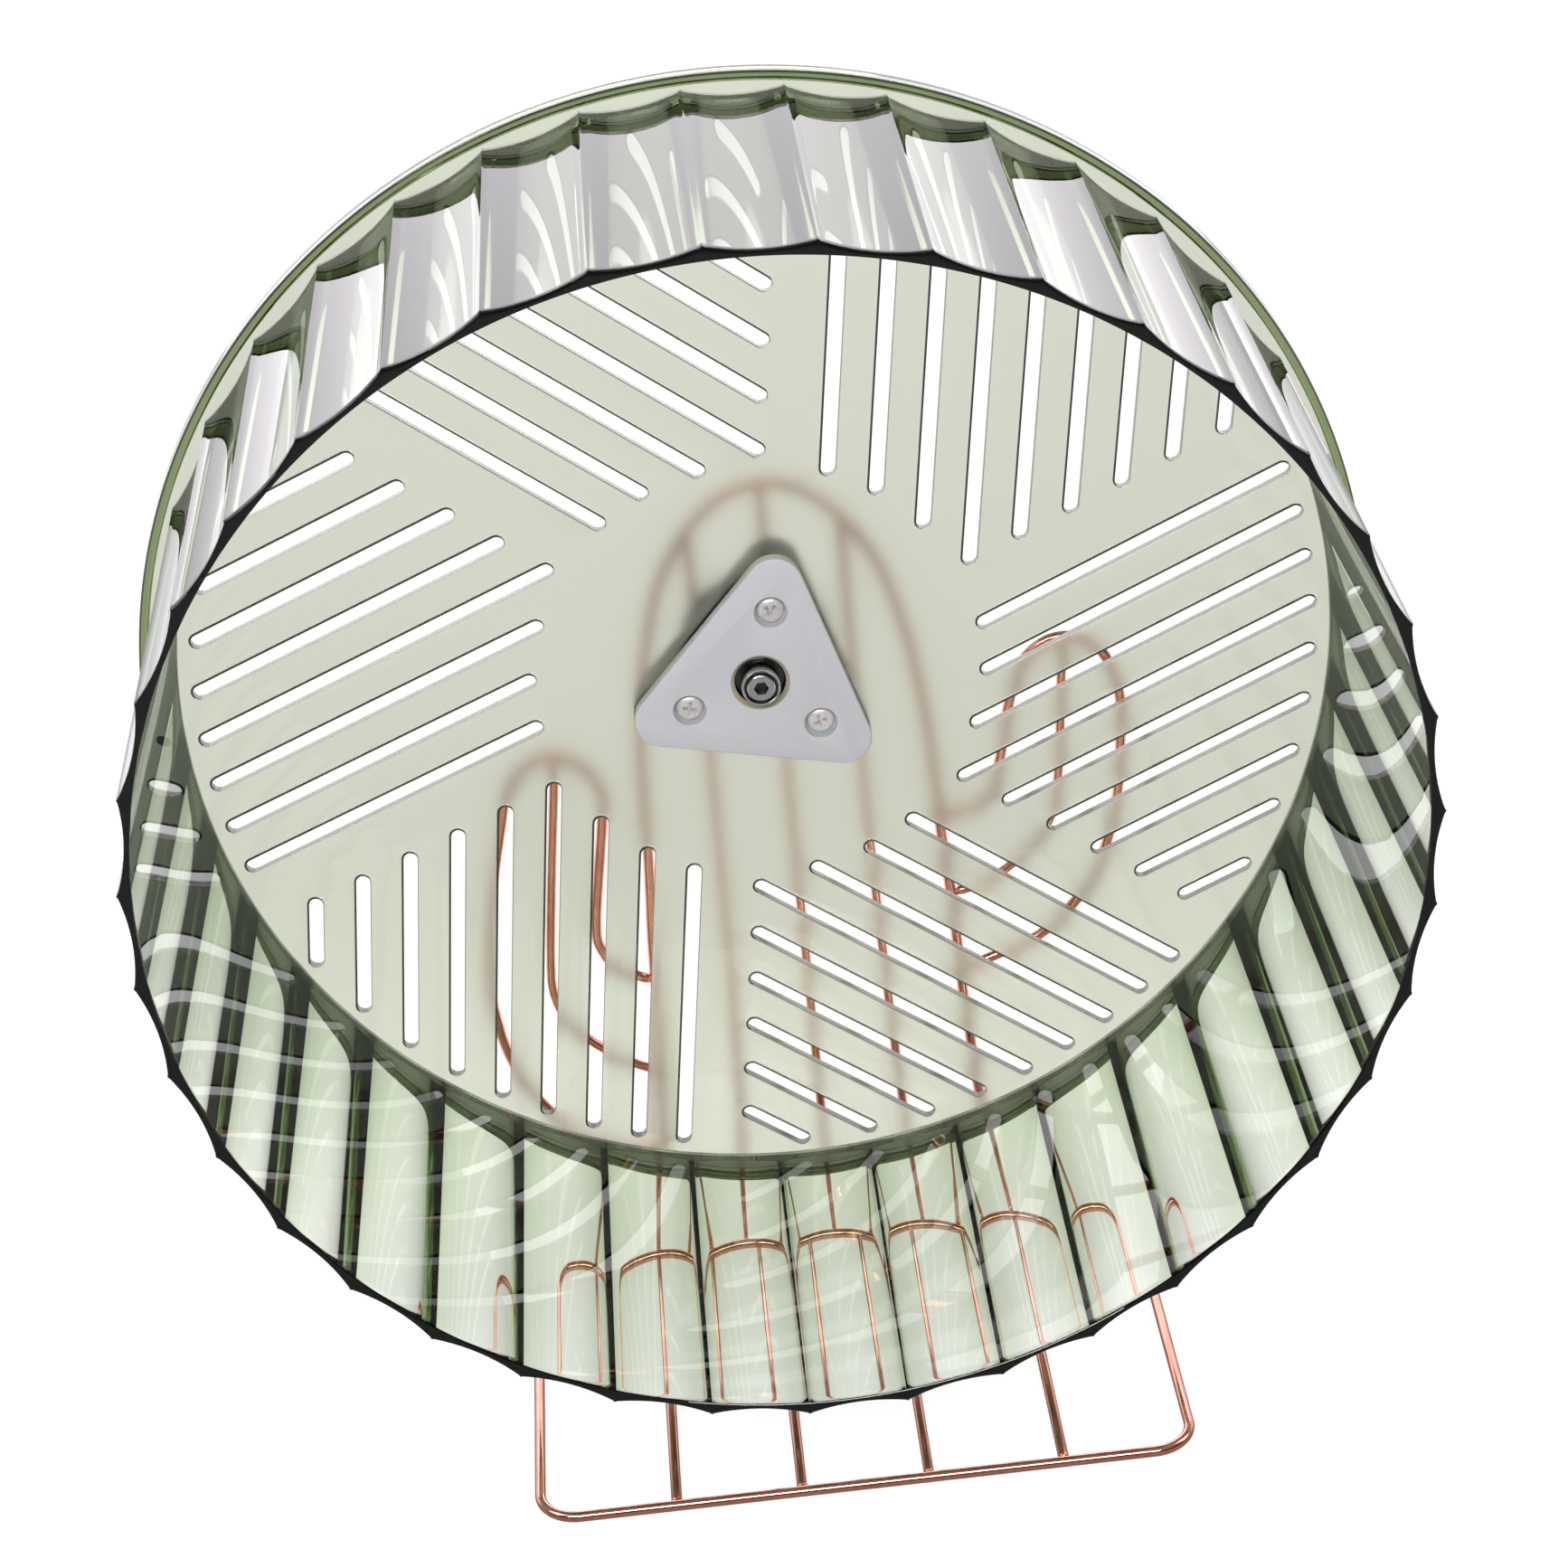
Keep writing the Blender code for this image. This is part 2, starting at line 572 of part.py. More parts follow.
def build_bearing(stand, wheel, cage_carrier):
    outer_track = groove(BALL_CIRCLE_RADIUS, 1, BEARING_OUTER_RING_BORE)
    profile = [(BEARING_OUTER_RADIUS, BEARING_FRONT), (BEARING_OUTER_RADIUS, BEARING_BACK)]
    profile += [(BEARING_OUTER_RING_BORE, BEARING_BACK)] + outer_track[::-1]
    profile += [(BEARING_OUTER_RING_BORE, BEARING_FRONT)]
    outer = turned("bearing_outer_ring", profile, closed=True)
    finish_piece(outer, "bearing_steel", wheel)
    inner_track = groove(BALL_CIRCLE_RADIUS, -1, BEARING_INNER_RING_RADIUS)
    profile = [(BEARING_INNER_RING_RADIUS, BEARING_FRONT)] + inner_track
    profile += [(BEARING_INNER_RING_RADIUS, BEARING_BACK)]
    profile += [(BEARING_BORE_RADIUS, BEARING_BACK), (BEARING_BORE_RADIUS, BEARING_FRONT)]
    inner = turned("bearing_inner_ring", profile, closed=True)
    finish_piece(inner, "bearing_steel", stand)
    shield_inner = BEARING_INNER_RING_RADIUS + FACE_GAP
    shield_outer = BEARING_OUTER_RING_BORE - FIT_GAP
    front_low = BEARING_FRONT - SHIELD_INSET - SHIELD_THICKNESS
    back_low = BEARING_BACK + SHIELD_INSET
    for name, low in (("bearing_front_shield", front_low), ("bearing_rear_shield", back_low)):
        shield = ring(name, shield_inner, shield_outer, low, low + SHIELD_THICKNESS)
        finish_piece(shield, "polished_steel", wheel)
    cage_low = BEARING_MIDDLE - BALL_RADIUS - FIT_GAP - CAGE_WALL
    cage_inner = BALL_CIRCLE_RADIUS - CAGE_HALF_WIDTH
    cage_outer = BALL_CIRCLE_RADIUS + CAGE_HALF_WIDTH
    cage = ring("bearing_cage", cage_inner, cage_outer, cage_low, BEARING_MIDDLE + CAGE_LIP)
    for i in range(BALL_COUNT):
        angle = math.tau * i / BALL_COUNT
        centre = (BALL_CIRCLE_RADIUS * math.cos(angle), BALL_CIRCLE_RADIUS * math.sin(angle), BEARING_MIDDLE)
        ball = sphere(f"bearing_ball_{i + 1}", BALL_RADIUS, centre)
        finish_piece(ball, "polished_steel", cage_carrier)
        pocket = make_cutter(sphere(f"ball_pocket_{i + 1}", BALL_RADIUS + FIT_GAP, centre))
        pocket.parent = cage_carrier
        boolean(cage, pocket, "DIFFERENCE")
    finish_piece(cage, "nylon", cage_carrier)


def sphere(name, radius, centre):
    mesh = bpy.data.meshes.new(name)
    work = bmesh.new()
    bmesh.ops.create_uvsphere(work, u_segments=BALL_SEGMENTS, v_segments=BALL_RINGS, radius=radius)
    work.to_mesh(mesh)
    work.free()
    piece = bpy.data.objects.new(name, mesh)
    piece.location = centre
    return piece


def build_axle(parent):
    """The shaft: a thick collar behind the bearing, a journal in it and a spigot through the plate."""
    journal = BEARING_BORE_RADIUS - FIT_GAP
    tip = BEARING_FRONT
    shoulder = BEARING_BACK - FACE_GAP
    plate_front = -PLATE_SETBACK
    plate_back = plate_front - PLATE_THICKNESS
    thread = AXLE_THREAD_RADIUS + FIT_GAP
    thread_floor = tip - AXLE_THREAD_DEPTH
    profile = [
        (0, tip), (journal, tip), (journal, shoulder), (AXLE_COLLAR_RADIUS, shoulder),
        (AXLE_COLLAR_RADIUS, plate_front + FACE_GAP), (journal, plate_front + FACE_GAP), (journal, plate_back),
        (0, plate_back),
    ]
    axle = turned("axle_shaft", profile, closed=False)
    hole = round_cutter("axle_thread", thread, thread_floor, tip + OVERRUN, parent)
    boolean(axle, hole, "DIFFERENCE")
    finish_piece(axle, "polished_steel", parent)
    plate = ring("axle_plate", journal + FIT_GAP, PLATE_RADIUS, plate_back, plate_front)
    finish_piece(plate, "copper_plated_wire", parent)
    washer_low = BEARING_FRONT + FACE_GAP
    washer_top = washer_low + WASHER_THICKNESS
    washer = ring("axle_washer", AXLE_THREAD_RADIUS + FIT_GAP, WASHER_RADIUS, washer_low, washer_top)
    finish_piece(washer, "polished_steel", parent)
    build_end_screw(parent, washer_top + FACE_GAP)


def build_end_screw(parent, seat):
    top = seat + END_SCREW_HEAD_HEIGHT
    groove_outer = END_SCREW_HEAD_RADIUS - END_SCREW_RIM
    groove_inner = groove_outer - END_SCREW_GROOVE
    groove_floor = top - END_SCREW_GROOVE_DEPTH
    bevel = END_SCREW_RIM / 2
    profile = [
        (0, top), (groove_inner, top), (groove_inner, groove_floor), (groove_outer, groove_floor),
        (groove_outer, top), (END_SCREW_HEAD_RADIUS - bevel, top), (END_SCREW_HEAD_RADIUS, top - bevel),
        (END_SCREW_HEAD_RADIUS, seat), (AXLE_THREAD_RADIUS, seat), (AXLE_THREAD_RADIUS, seat - END_SCREW_LENGTH),
        (0, seat - END_SCREW_LENGTH),
    ]
    screw = turned("axle_end_screw", profile, closed=False)
    socket = make_cutter(rod("hex_socket", HEX_ACROSS_CORNERS / 2, top - HEX_DEPTH, top + OVERRUN, sides=6))
    socket.parent = parent
    boolean(screw, socket, "DIFFERENCE")
    finish_piece(screw, "polished_steel", parent)


def place_wire(points):
    """Turns (x, y, z) in the stand, with y measured back from the disc's face, into points."""
    return [Vector((STAND_OFFSET + x, DISC_FACE_Y + y, z)) for x, y, z in points]


def build_base(parent):
    right, radius = BASE_HALF_WIDTH, BASE_CORNER_RADIUS
    front, rear = -BASE_REACH, REAR_BAR_SETBACK
    quarter = math.pi / 2
    corners = (
        (right - radius, rear - radius, 0), (radius - right, rear - radius, quarter),
        (radius - right, front + radius, 2 * quarter), (right - radius, front + radius, 3 * quarter),
    )
    loop = []
    for x, y, start in corners:
        loop += arc((x, y), radius, start, start + quarter, BASE_CORNER_STEPS)
    points = place_wire([(x, y, FRAME_HEIGHT) for x, y in loop])
    wire("base_frame_wire", points, FRAME_WIRE_RADIUS, parent, cyclic=True, flat=True)
    inset = FRAME_WIRE_RADIUS + FACE_GAP
    for kind, shares, thickness in (
        ("outer", OUTER_CROSS_SHARES, FRAME_WIRE_RADIUS), ("inner", INNER_CROSS_SHARES, THIN_WIRE_RADIUS),
    ):
        for side, share in zip(("left", "right"), shares):
            x = share * BASE_HALF_WIDTH
            ends = place_wire([(x, front + inset, FRAME_HEIGHT), (x, rear - inset, FRAME_HEIGHT)])
            wire(f"base_{kind}_cross_wire_{side}", ends, thickness, parent, flat=True)


def arch_leg():
    """The arch's right half in the wire plane, from its foot to the apex, as (x, z)."""
    route = [Vector((ARCH_FOOT_HALF_WIDTH, 0, LEG_CLEARANCE))]
    for x_share, z_share in ARCH_LEG_SHARES:
        route.append(Vector((x_share * ARCH_FOOT_HALF_WIDTH, 0, z_share * APEX_HEIGHT)))
    apex = Vector((0, 0, APEX_HEIGHT))
    beyond = [Vector((-point.x, 0, point.z)) for point in route[-1:0:-1]]
    smooth = smooth_route(route + [apex] + beyond, WIRE_STEP)
    return [point for point in smooth if point.x > WIRE_STEP / 4] + [apex]


def leg_at(leg, height):
    """How far the arch's leg is from the middle at this height."""
    for low, high in zip(leg, leg[1:]):
        if low.z <= height <= high.z:
            share = (height - low.z) / (high.z - low.z)
            return low.x + share * (high.x - low.x)
    return leg[0].x


def arch_height(leg, x):
    """The height of the arch's centre line and its slope above this x."""
    for low, high in zip(leg, leg[1:]):
        if high.x <= x <= low.x and high.z > APEX_HEIGHT / 2:
            share = (low.x - x) / (low.x - high.x)
            slope = (high.z - low.z) / (low.x - high.x)
            return low.z + share * (high.z - low.z), slope
    return APEX_HEIGHT, 0


def build_trunk(parent, leg):
    half = [(point.x, WIRE_PLANE, point.z) for point in leg]
    route = half + [(-x, y, z) for x, y, z in half[-2::-1]]
    wire("trunk_arch_wire", place_wire(route), FRAME_WIRE_RADIUS, parent)
    for side, name in ((-1, "trunk_upright_left"), (0, "trunk_upright_middle"), (1, "trunk_upright_right")):
        x_foot, x_top = side * UPRIGHT_FOOT_HALF_SPACING, side * UPRIGHT_TOP_HALF_SPACING
        centre_height, slope = arch_height(leg, abs(x_top))
        drop = (FRAME_WIRE_RADIUS + FACE_GAP) * math.hypot(1, slope) + THIN_WIRE_RADIUS * slope
        top_height = centre_height - drop
        straight_from = APEX_HEIGHT * UPRIGHT_BEND_SHARE
        points = [Vector((x_foot, WIRE_PLANE, LEG_CLEARANCE)), Vector((x_top, WIRE_PLANE, top_height))]
        if side:
            points.insert(1, Vector((x_top, WIRE_PLANE, straight_from)))
            x_knee = x_foot + (x_top - x_foot) * UPRIGHT_KNEE_SHARE
            points.insert(1, Vector((x_knee, WIRE_PLANE, straight_from / 2)))
        smooth = smooth_route(points, UPRIGHT_STEP)
        wire(name, place_wire([tuple(point) for point in smooth]), THIN_WIRE_RADIUS, parent)


def butt(point, joint, radius):
    """Where a wire that comes from the point stops short of a leg whose centre line holds the joint."""
    heading = (joint - point).normalized()
    stop = FRAME_WIRE_RADIUS + FACE_GAP + radius * abs(heading.z)
    return joint - heading * (stop / abs(heading.x))


def leg_joint(leg, side, foot, rise, share):
    height = foot + share * rise
    return Vector((side * leg_at(leg, height), WIRE_PLANE, height))


def build_arm(parent, leg, name, side, reach, foot, rise, loop_shares, loop_ends, inner_shares, inner_end):
    span = reach - ARCH_FOOT_HALF_WIDTH

    def at(x_share, z_share):
        return Vector((side * (ARCH_FOOT_HALF_WIDTH + x_share * span), WIRE_PLANE, foot + z_share * rise))

    loop = [at(*shares) for shares in loop_shares]
    start = leg_joint(leg, side, foot, rise, loop_ends[0])
    end = leg_joint(leg, side, foot, rise, loop_ends[1])
    loop = [butt(loop[0], start, FRAME_WIRE_RADIUS)] + loop + [butt(loop[-1], end, FRAME_WIRE_RADIUS)]
    smooth = smooth_route(loop, WIRE_STEP)
    wire(f"{name}_arm_loop", place_wire([tuple(point) for point in smooth]), FRAME_WIRE_RADIUS, parent)
    inner = [at(*shares) for shares in inner_shares]
    top = Vector((inner[0].x, WIRE_PLANE, foot + rise - FRAME_WIRE_RADIUS - FACE_GAP))
    end = leg_joint(leg, side, foot, rise, inner_end)
    inner = [top] + inner + [butt(inner[-1], end, THIN_WIRE_RADIUS)]
    smooth = smooth_route(inner, WIRE_STEP)
    wire(f"{name}_arm_inner", place_wire([tuple(point) for point in smooth]), THIN_WIRE_RADIUS, parent)


def build_stand(parent):
    build_base(parent)
    leg = arch_leg()
    build_trunk(parent, leg)
    build_arm(
        parent, leg, "left", -1, LEFT_ARM_REACH, LEFT_ARM_FOOT, LEFT_ARM_RISE, LEFT_LOOP_SHARES,
        (LEFT_LOOP_FOOT_SHARE, LEFT_LOOP_END_SHARE), LEFT_INNER_SHARES, LEFT_INNER_END_SHARE,
    )
    build_arm(
        parent, leg, "right", 1, RIGHT_ARM_REACH, RIGHT_ARM_FOOT, RIGHT_ARM_RISE, RIGHT_LOOP_SHARES,
        (RIGHT_LOOP_FOOT_SHARE, RIGHT_LOOP_END_SHARE), RIGHT_INNER_SHARES, RIGHT_INNER_END_SHARE,
    )


clear_scene()
make_collections()
make_materials()
stand_frame = empty("stand_frame", (0, 0, 0))
facing_front = (math.pi / 2, 0, 0)
hub_point = (0, DISC_FACE_Y, AXLE_HEIGHT)
fixed_axle = empty("fixed_axle", hub_point, facing_front, stand_frame)
wheel_axis = empty("wheel_axis", hub_point, facing_front, stand_frame)
cage_axis = empty("cage_axis", hub_point, facing_front, stand_frame)
build_stand(stand_frame)
build_axle(fixed_axle)
build_bearing(fixed_axle, wheel_axis, cage_axis)
build_drum(wheel_axis)
build_disc(wheel_axis)
build_cover(wheel_axis)
build_cover_screws(wheel_axis)
bpy.context.view_layer.update()
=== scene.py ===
"""A hamster exercise wheel of clear green plastic on a cactus-shaped stand of copper-plated wire.

It stands on a white table and is seen from the front and from above. The open front of the wheel
faces -Y, Z is up and the floor is at zero. Lengths are in metres. The disc, the drum, the cover
and the turned pieces are laid out in millimetres from the disc's middle, and scaled as they are made.
"""
import math
import random

import bmesh
import bpy
from mathutils import Matrix, Vector
from mathutils.geometry import delaunay_2d_cdt


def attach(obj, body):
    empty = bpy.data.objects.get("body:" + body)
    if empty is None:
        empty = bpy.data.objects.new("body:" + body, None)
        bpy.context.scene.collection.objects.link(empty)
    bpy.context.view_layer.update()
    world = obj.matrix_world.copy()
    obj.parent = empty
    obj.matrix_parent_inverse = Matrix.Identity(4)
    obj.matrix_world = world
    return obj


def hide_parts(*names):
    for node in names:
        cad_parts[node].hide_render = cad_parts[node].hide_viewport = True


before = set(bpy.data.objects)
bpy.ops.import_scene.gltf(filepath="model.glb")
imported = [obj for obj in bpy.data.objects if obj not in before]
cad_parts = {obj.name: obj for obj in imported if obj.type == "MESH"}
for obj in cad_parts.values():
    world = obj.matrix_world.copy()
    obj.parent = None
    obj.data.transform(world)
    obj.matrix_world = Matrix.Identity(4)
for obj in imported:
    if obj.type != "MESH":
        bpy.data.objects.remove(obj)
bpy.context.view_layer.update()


# Camera. It stands in front of the wheel's middle, well above it, and leans a little to one side.
# It is near enough for the drum's far edge to look about a tenth smaller than its near one.
MM = 0.001
camera_place = Vector((-9.9, -647.6, 483.5)) * MM
camera_target = Vector((2.79, 32.6, 129.75)) * MM
camera_roll = math.radians(-5.8)
camera_data = bpy.data.cameras.new("camera")
camera_data.sensor_width = 36
camera_data.lens = 82.53
camera = bpy.data.objects.new("camera", camera_data)
aim = (camera_target - camera_place).to_track_quat("-Z", "Y")
camera.rotation_mode = "QUATERNION"
camera.rotation_quaternion = aim @ Matrix.Rotation(camera_roll, 3, "Z").to_quaternion()
camera.location = camera_place
bpy.context.scene.collection.objects.link(camera)
bpy.context.scene.camera = camera
bpy.context.scene.view_settings.view_transform = "Standard"


# Studio light. Large soft panels stand on the left, on the right and behind, and a flatter one in front.
# The world glows brightly behind and is dark low on the camera's side, which gives the plastic and the
# wire their dark lines. It is white to the eye.
def add_node(tree, kind, inputs=(), **settings):
    """A node with its settings, and with each input set to a value or linked to an output."""
    node = tree.nodes.new(kind)
    for name, value in settings.items():
        setattr(node, name, value)
    for socket, value in dict(inputs).items():
        if isinstance(value, bpy.types.NodeSocket):
            tree.links.new(value, node.inputs[socket])
        else:
            node.inputs[socket].default_value = value
    return node


def calculate(tree, operation, first, second):
    """The output of a Math node."""
    return add_node(tree, "ShaderNodeMath", {0: first, 1: second}, operation=operation).outputs[0]


def shade(value):
    """A plain grey."""
    return (value, value, value, 1.0)


def mix_colours(tree, share, first, second, blend="MIX"):
    """A colour from the first to the second, by a share from 0 to 1."""
    inputs = {0: share, 6: first, 7: second}
    return add_node(tree, "ShaderNodeMix", inputs, data_type="RGBA", blend_type=blend).outputs[2]


world = bpy.data.worlds.new("studio")
bpy.context.scene.world = world
world.use_nodes = True
sky = world.node_tree
sky.nodes.clear()
direction = add_node(sky, "ShaderNodeTexCoord").outputs["Generated"]
_, depth, height = add_node(sky, "ShaderNodeSeparateXYZ", {0: direction}).outputs
towards_camera = add_node(
    sky, "ShaderNodeMapRange", {"Value": depth, "From Min": -0.35, "From Max": 0.25, "To Min": 1.0, "To Max": 0.0},
    interpolation_type="SMOOTHSTEP",
).outputs[0]
low_down = add_node(
    sky, "ShaderNodeMapRange", {"Value": height, "From Min": 0.45, "From Max": 0.75, "To Min": 1.0, "To Max": 0.0},
    interpolation_type="SMOOTHSTEP",
).outputs[0]
dark_side = calculate(sky, "MULTIPLY", towards_camera, low_down)
studio_light = mix_colours(sky, dark_side, shade(0.3), shade(0.09))
behind = add_node(
    sky, "ShaderNodeMapRange", {"Value": depth, "From Min": 0.3, "From Max": 0.6}, interpolation_type="SMOOTHSTEP",
).outputs[0]
near_horizon = add_node(
    sky, "ShaderNodeMapRange", {"Value": height, "From Min": 0.4, "From Max": 0.55, "To Min": 1.0, "To Max": 0.0},
).outputs[0]
backdrop_glow = calculate(sky, "MULTIPLY", behind, near_horizon)
studio_light = mix_colours(sky, backdrop_glow, studio_light, (1.0, 0.96, 1.02, 1))
seen = add_node(sky, "ShaderNodeLightPath").outputs["Is Camera Ray"]
glow = mix_colours(sky, seen, studio_light, shade(1.0))
background = add_node(sky, "ShaderNodeBackground", {"Color": glow, "Strength": 1.0})
add_node(sky, "ShaderNodeOutputWorld", {"Surface": background.outputs[0]})


def add_softbox(name, place, target, size, power, colour=(1, 1, 1)):
    data = bpy.data.lights.new(name, "AREA")
    data.shape = "RECTANGLE"
    data.size, data.size_y = size
    data.energy = power
    data.color = colour
    lamp = bpy.data.objects.new(name, data)
    lamp.location = place
    lamp.rotation_euler = (Vector(target) - Vector(place)).to_track_quat("-Z", "Y").to_euler()
    lamp.visible_camera = False
    bpy.context.scene.collection.objects.link(lamp)


wheel_middle = (0, 0, 0.156)
add_softbox("softbox_left", (-1.1, -0.3, 1.1), wheel_middle, (0.7, 0.9), 5.0)
add_softbox("softbox_right", (1.2, 0.1, 1.0), wheel_middle, (0.6, 0.9), 4.0)
add_softbox("softbox_front", (-0.15, -1.0, 0.9), wheel_middle, (1.1, 0.28), 12.5)
add_softbox("softbox_back", (0.0, 1.6, 0.62), wheel_middle, (1.9, 1.16), 10.0, (1.0, 0.97, 0.985))


# Table. A plain white sheet, which looks white by itself and also through the plastic and in the
# metal, and still takes a faint shadow. Through the plastic it has a painted pool of light just behind
# the wheel, and in a reflection it has painted shade under the wheel and in front of it.
TABLE_REACH = 4.0
TABLE_DROP = 0.2 * MM
table_mesh = bpy.data.meshes.new("table")
corners = [(-1, -1), (1, -1), (1, 1), (-1, 1)]
table_mesh.from_pydata([(x * TABLE_REACH, y * TABLE_REACH, -TABLE_DROP) for x, y in corners], [], [(0, 1, 2, 3)])
table = bpy.data.objects.new("table", table_mesh)
bpy.context.scene.collection.objects.link(table)
table_white = bpy.data.materials.new("white_table")
table_white.use_nodes = True
tree = table_white.node_tree
tree.nodes.clear()
rays = add_node(tree, "ShaderNodeLightPath").outputs
looked_at = calculate(tree, "MAXIMUM", rays["Is Camera Ray"], rays["Is Glossy Ray"])
looked_at = calculate(tree, "MAXIMUM", looked_at, rays["Is Transmission Ray"])
paint = mix_colours(tree, looked_at, shade(0.75), shade(0.25))
sheet = add_node(tree, "ShaderNodeBsdfDiffuse", {"Color": paint})
place = add_node(tree, "ShaderNodeTexCoord").outputs["Object"]
towards_front = add_node(tree, "ShaderNodeSeparateXYZ", {0: place}).outputs["Y"]


def along_table(start, end, most=1.0):
    """A value that goes from 0 at one distance behind the wheel's middle to its most at the other."""
    inputs = {"Value": towards_front, "From Min": start, "From Max": end, "To Max": most}
    return add_node(tree, "ShaderNodeMapRange", inputs).outputs[0]


OWN_WHITE, SHADE_LIFT = 0.88, 0.12
# Painted shade: in a reflection, the sheet is darker under the wheel and in front of it.
in_front = along_table(0.08, 0.02, 0.92)
shaded = calculate(tree, "MULTIPLY", calculate(tree, "SUBTRACT", in_front, SHADE_LIFT), rays["Is Reflection Ray"])
# Painted light: seen through the plastic, the sheet is brighter in a pool just behind the wheel.
painted_light_pool = calculate(tree, "MULTIPLY", along_table(0.05, 0.1, 0.2), along_table(0.24, 0.14))
painted_light_pool = calculate(tree, "MULTIPLY", painted_light_pool, rays["Is Transmission Ray"])
own_white = calculate(tree, "SUBTRACT", calculate(tree, "ADD", OWN_WHITE, painted_light_pool), shaded)
own_white = calculate(tree, "MULTIPLY", looked_at, own_white)
shine = add_node(tree, "ShaderNodeEmission", {"Color": shade(1.0), "Strength": own_white})
both = add_node(tree, "ShaderNodeAddShader", {0: sheet.outputs[0], 1: shine.outputs[0]})
add_node(tree, "ShaderNodeOutputMaterial", {"Surface": both.outputs[0]})
table_mesh.materials.append(table_white)


# Stand wires. Steel wire, copper plated and polished: 2.5 mm for the arch and the arms' loops, 2.3 mm for
# the base and its outer cross wires, and 2.2 mm for the others. Each is bent on a jig, cut, and spot
# welded to the next.
def make_group(name, inputs, outputs):
    """An empty shader node group, and the sockets of its two end nodes."""
    group = bpy.data.node_groups.new(name, "ShaderNodeTree")
    for title, kind, value in inputs:
        socket = group.interface.new_socket(title, in_out="INPUT", socket_type=kind)
        socket.default_value = value
    for title, kind in outputs:
        group.interface.new_socket(title, in_out="OUTPUT", socket_type=kind)
    return group, group.nodes.new("NodeGroupInput").outputs, group.nodes.new("NodeGroupOutput").inputs


hairlines, given, results = make_group(
    "hairlines", [("Scale", "NodeSocketFloat", 400.0), ("Spread", "NodeSocketFloat", 0.5)],
    [("Mask", "NodeSocketFloat")],
)
place = add_node(hairlines, "ShaderNodeTexCoord").outputs["Object"]
stretched = add_node(hairlines, "ShaderNodeMapping", {"Vector": place, "Scale": (1.0, 0.12, 0.35)}).outputs[0]
grain = add_node(
    hairlines, "ShaderNodeTexNoise", {"Vector": stretched, "Scale": given["Scale"], "Detail": 4.0},
).outputs[0]
blotch = add_node(hairlines, "ShaderNodeTexNoise", {"Vector": place, "Scale": 45.0, "Detail": 2.0}).outputs[0]
mixed = calculate(hairlines, "MULTIPLY", grain, blotch)
mask = add_node(hairlines, "ShaderNodeMapRange", {"Value": mixed, "From Min": 0.15, "From Max": 0.45})
hairlines.links.new(calculate(hairlines, "MULTIPLY", mask.outputs[0], given["Spread"]), results["Mask"])


def new_material(name):
    material = bpy.data.materials.new(name)
    material.use_nodes = True
    return material, material.node_tree, material.node_tree.nodes["Principled BSDF"].inputs


def use_group(tree, group, **values):
    node = tree.nodes.new("ShaderNodeGroup")
    node.node_tree = group
    for title, value in values.items():
        node.inputs[title].default_value = value
    return node.outputs


def spread(tree, value, low, high):
    return add_node(tree, "ShaderNodeMapRange", {"Value": value, "To Min": low, "To Max": high}).outputs[0]


def streaked_metal(name, scale, bright, dark, roughness, metallic=1.0, relief=0.0):
    """A metal with fine hairlines, which change its colour and its polish, and may stand out a little."""
    material, tree, coat = new_material(name)
    marks = use_group(tree, hairlines, Scale=scale, Spread=1.0)["Mask"]
    tree.links.new(mix_colours(tree, marks, (*bright, 1), (*dark, 1)), coat["Base Color"])
    tree.links.new(spread(tree, marks, *roughness), coat["Roughness"])
    coat["Metallic"].default_value = metallic
    if relief:
        inputs = {"Height": marks, "Strength": relief, "Distance": 0.00002}
        tree.links.new(add_node(tree, "ShaderNodeBump", inputs).outputs[0], coat["Normal"])
    return material


copper = streaked_metal("rose_copper_plating", 900.0, (0.93, 0.46, 0.36), (0.8, 0.31, 0.24), (0.08, 0.2), relief=0.15)

AXLE_HEIGHT = 155.7 * MM
FACE_PLACE = 32.625 * MM
STAND_OFFSET = 4.2 * MM
WIRE_PLANE = 21.5 * MM
THICK_WIRE = 1.25 * MM
THIN_WIRE = 1.1 * MM
WIRE_GAP = 0.05 * MM
WIRE_STEP = 2.0 * MM
BASE_LIFT = 1.155 * MM
WIRE_PINCH, SOFT_END = 0.82, 0.25 * MM
BEAD, ARCH_BEAD, LOOP_BEAD, INNER_BEAD = 0.9 * MM, 1.0 * MM, 0.95 * MM, 0.85 * MM
FOOT_BEAD_HEIGHT, FOOT_BEAD_BACK = 1.9 * MM, 20.1 * MM


def on_stand(x, z, back=WIRE_PLANE):
    return Vector((STAND_OFFSET + x, FACE_PLACE + back, z))


def smooth_route(points):
    """Points close together on a smooth curve through the route's own points."""
    last = len(points) - 1
    found = []
    for i in range(last):
        before, here, there, after = (points[min(max(i + k - 1, 0), last)] for k in range(4))
        pieces = max(1, round((there - here).length / WIRE_STEP))
        for k in range(pieces):
            t = k / pieces
            pull = -before * (t - 2 * t**2 + t**3) + here * (2 - 5 * t**2 + 3 * t**3)
            push = there * (t + 4 * t**2 - 3 * t**3) + after * (t**3 - t**2)
            found.append((pull + push) / 2)
    found.append(points[-1])
    return found


def add_wire(name, points, radius, node, closed=False):
    """A round wire along the points, with its ends pinched as a shear leaves them."""
    curve = bpy.data.curves.new(name, "CURVE")
    curve.dimensions = "3D"
    curve.bevel_depth = radius
    curve.bevel_resolution = 6
    curve.use_fill_caps = True
    spline = curve.splines.new("POLY")
    spline.points.add(len(points) - 1)
    for place, point in zip(spline.points, points):
        place.co = (*point, 1)
    if not closed:
        spline.points[0].radius = spline.points[-1].radius = WIRE_PINCH
    spline.use_cyclic_u = closed
    spline.use_smooth = True
    piece = bpy.data.objects.new(name, curve)
    bpy.context.scene.collection.objects.link(piece)
    curve.materials.append(copper)
    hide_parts(node)
    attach(piece, "stand")


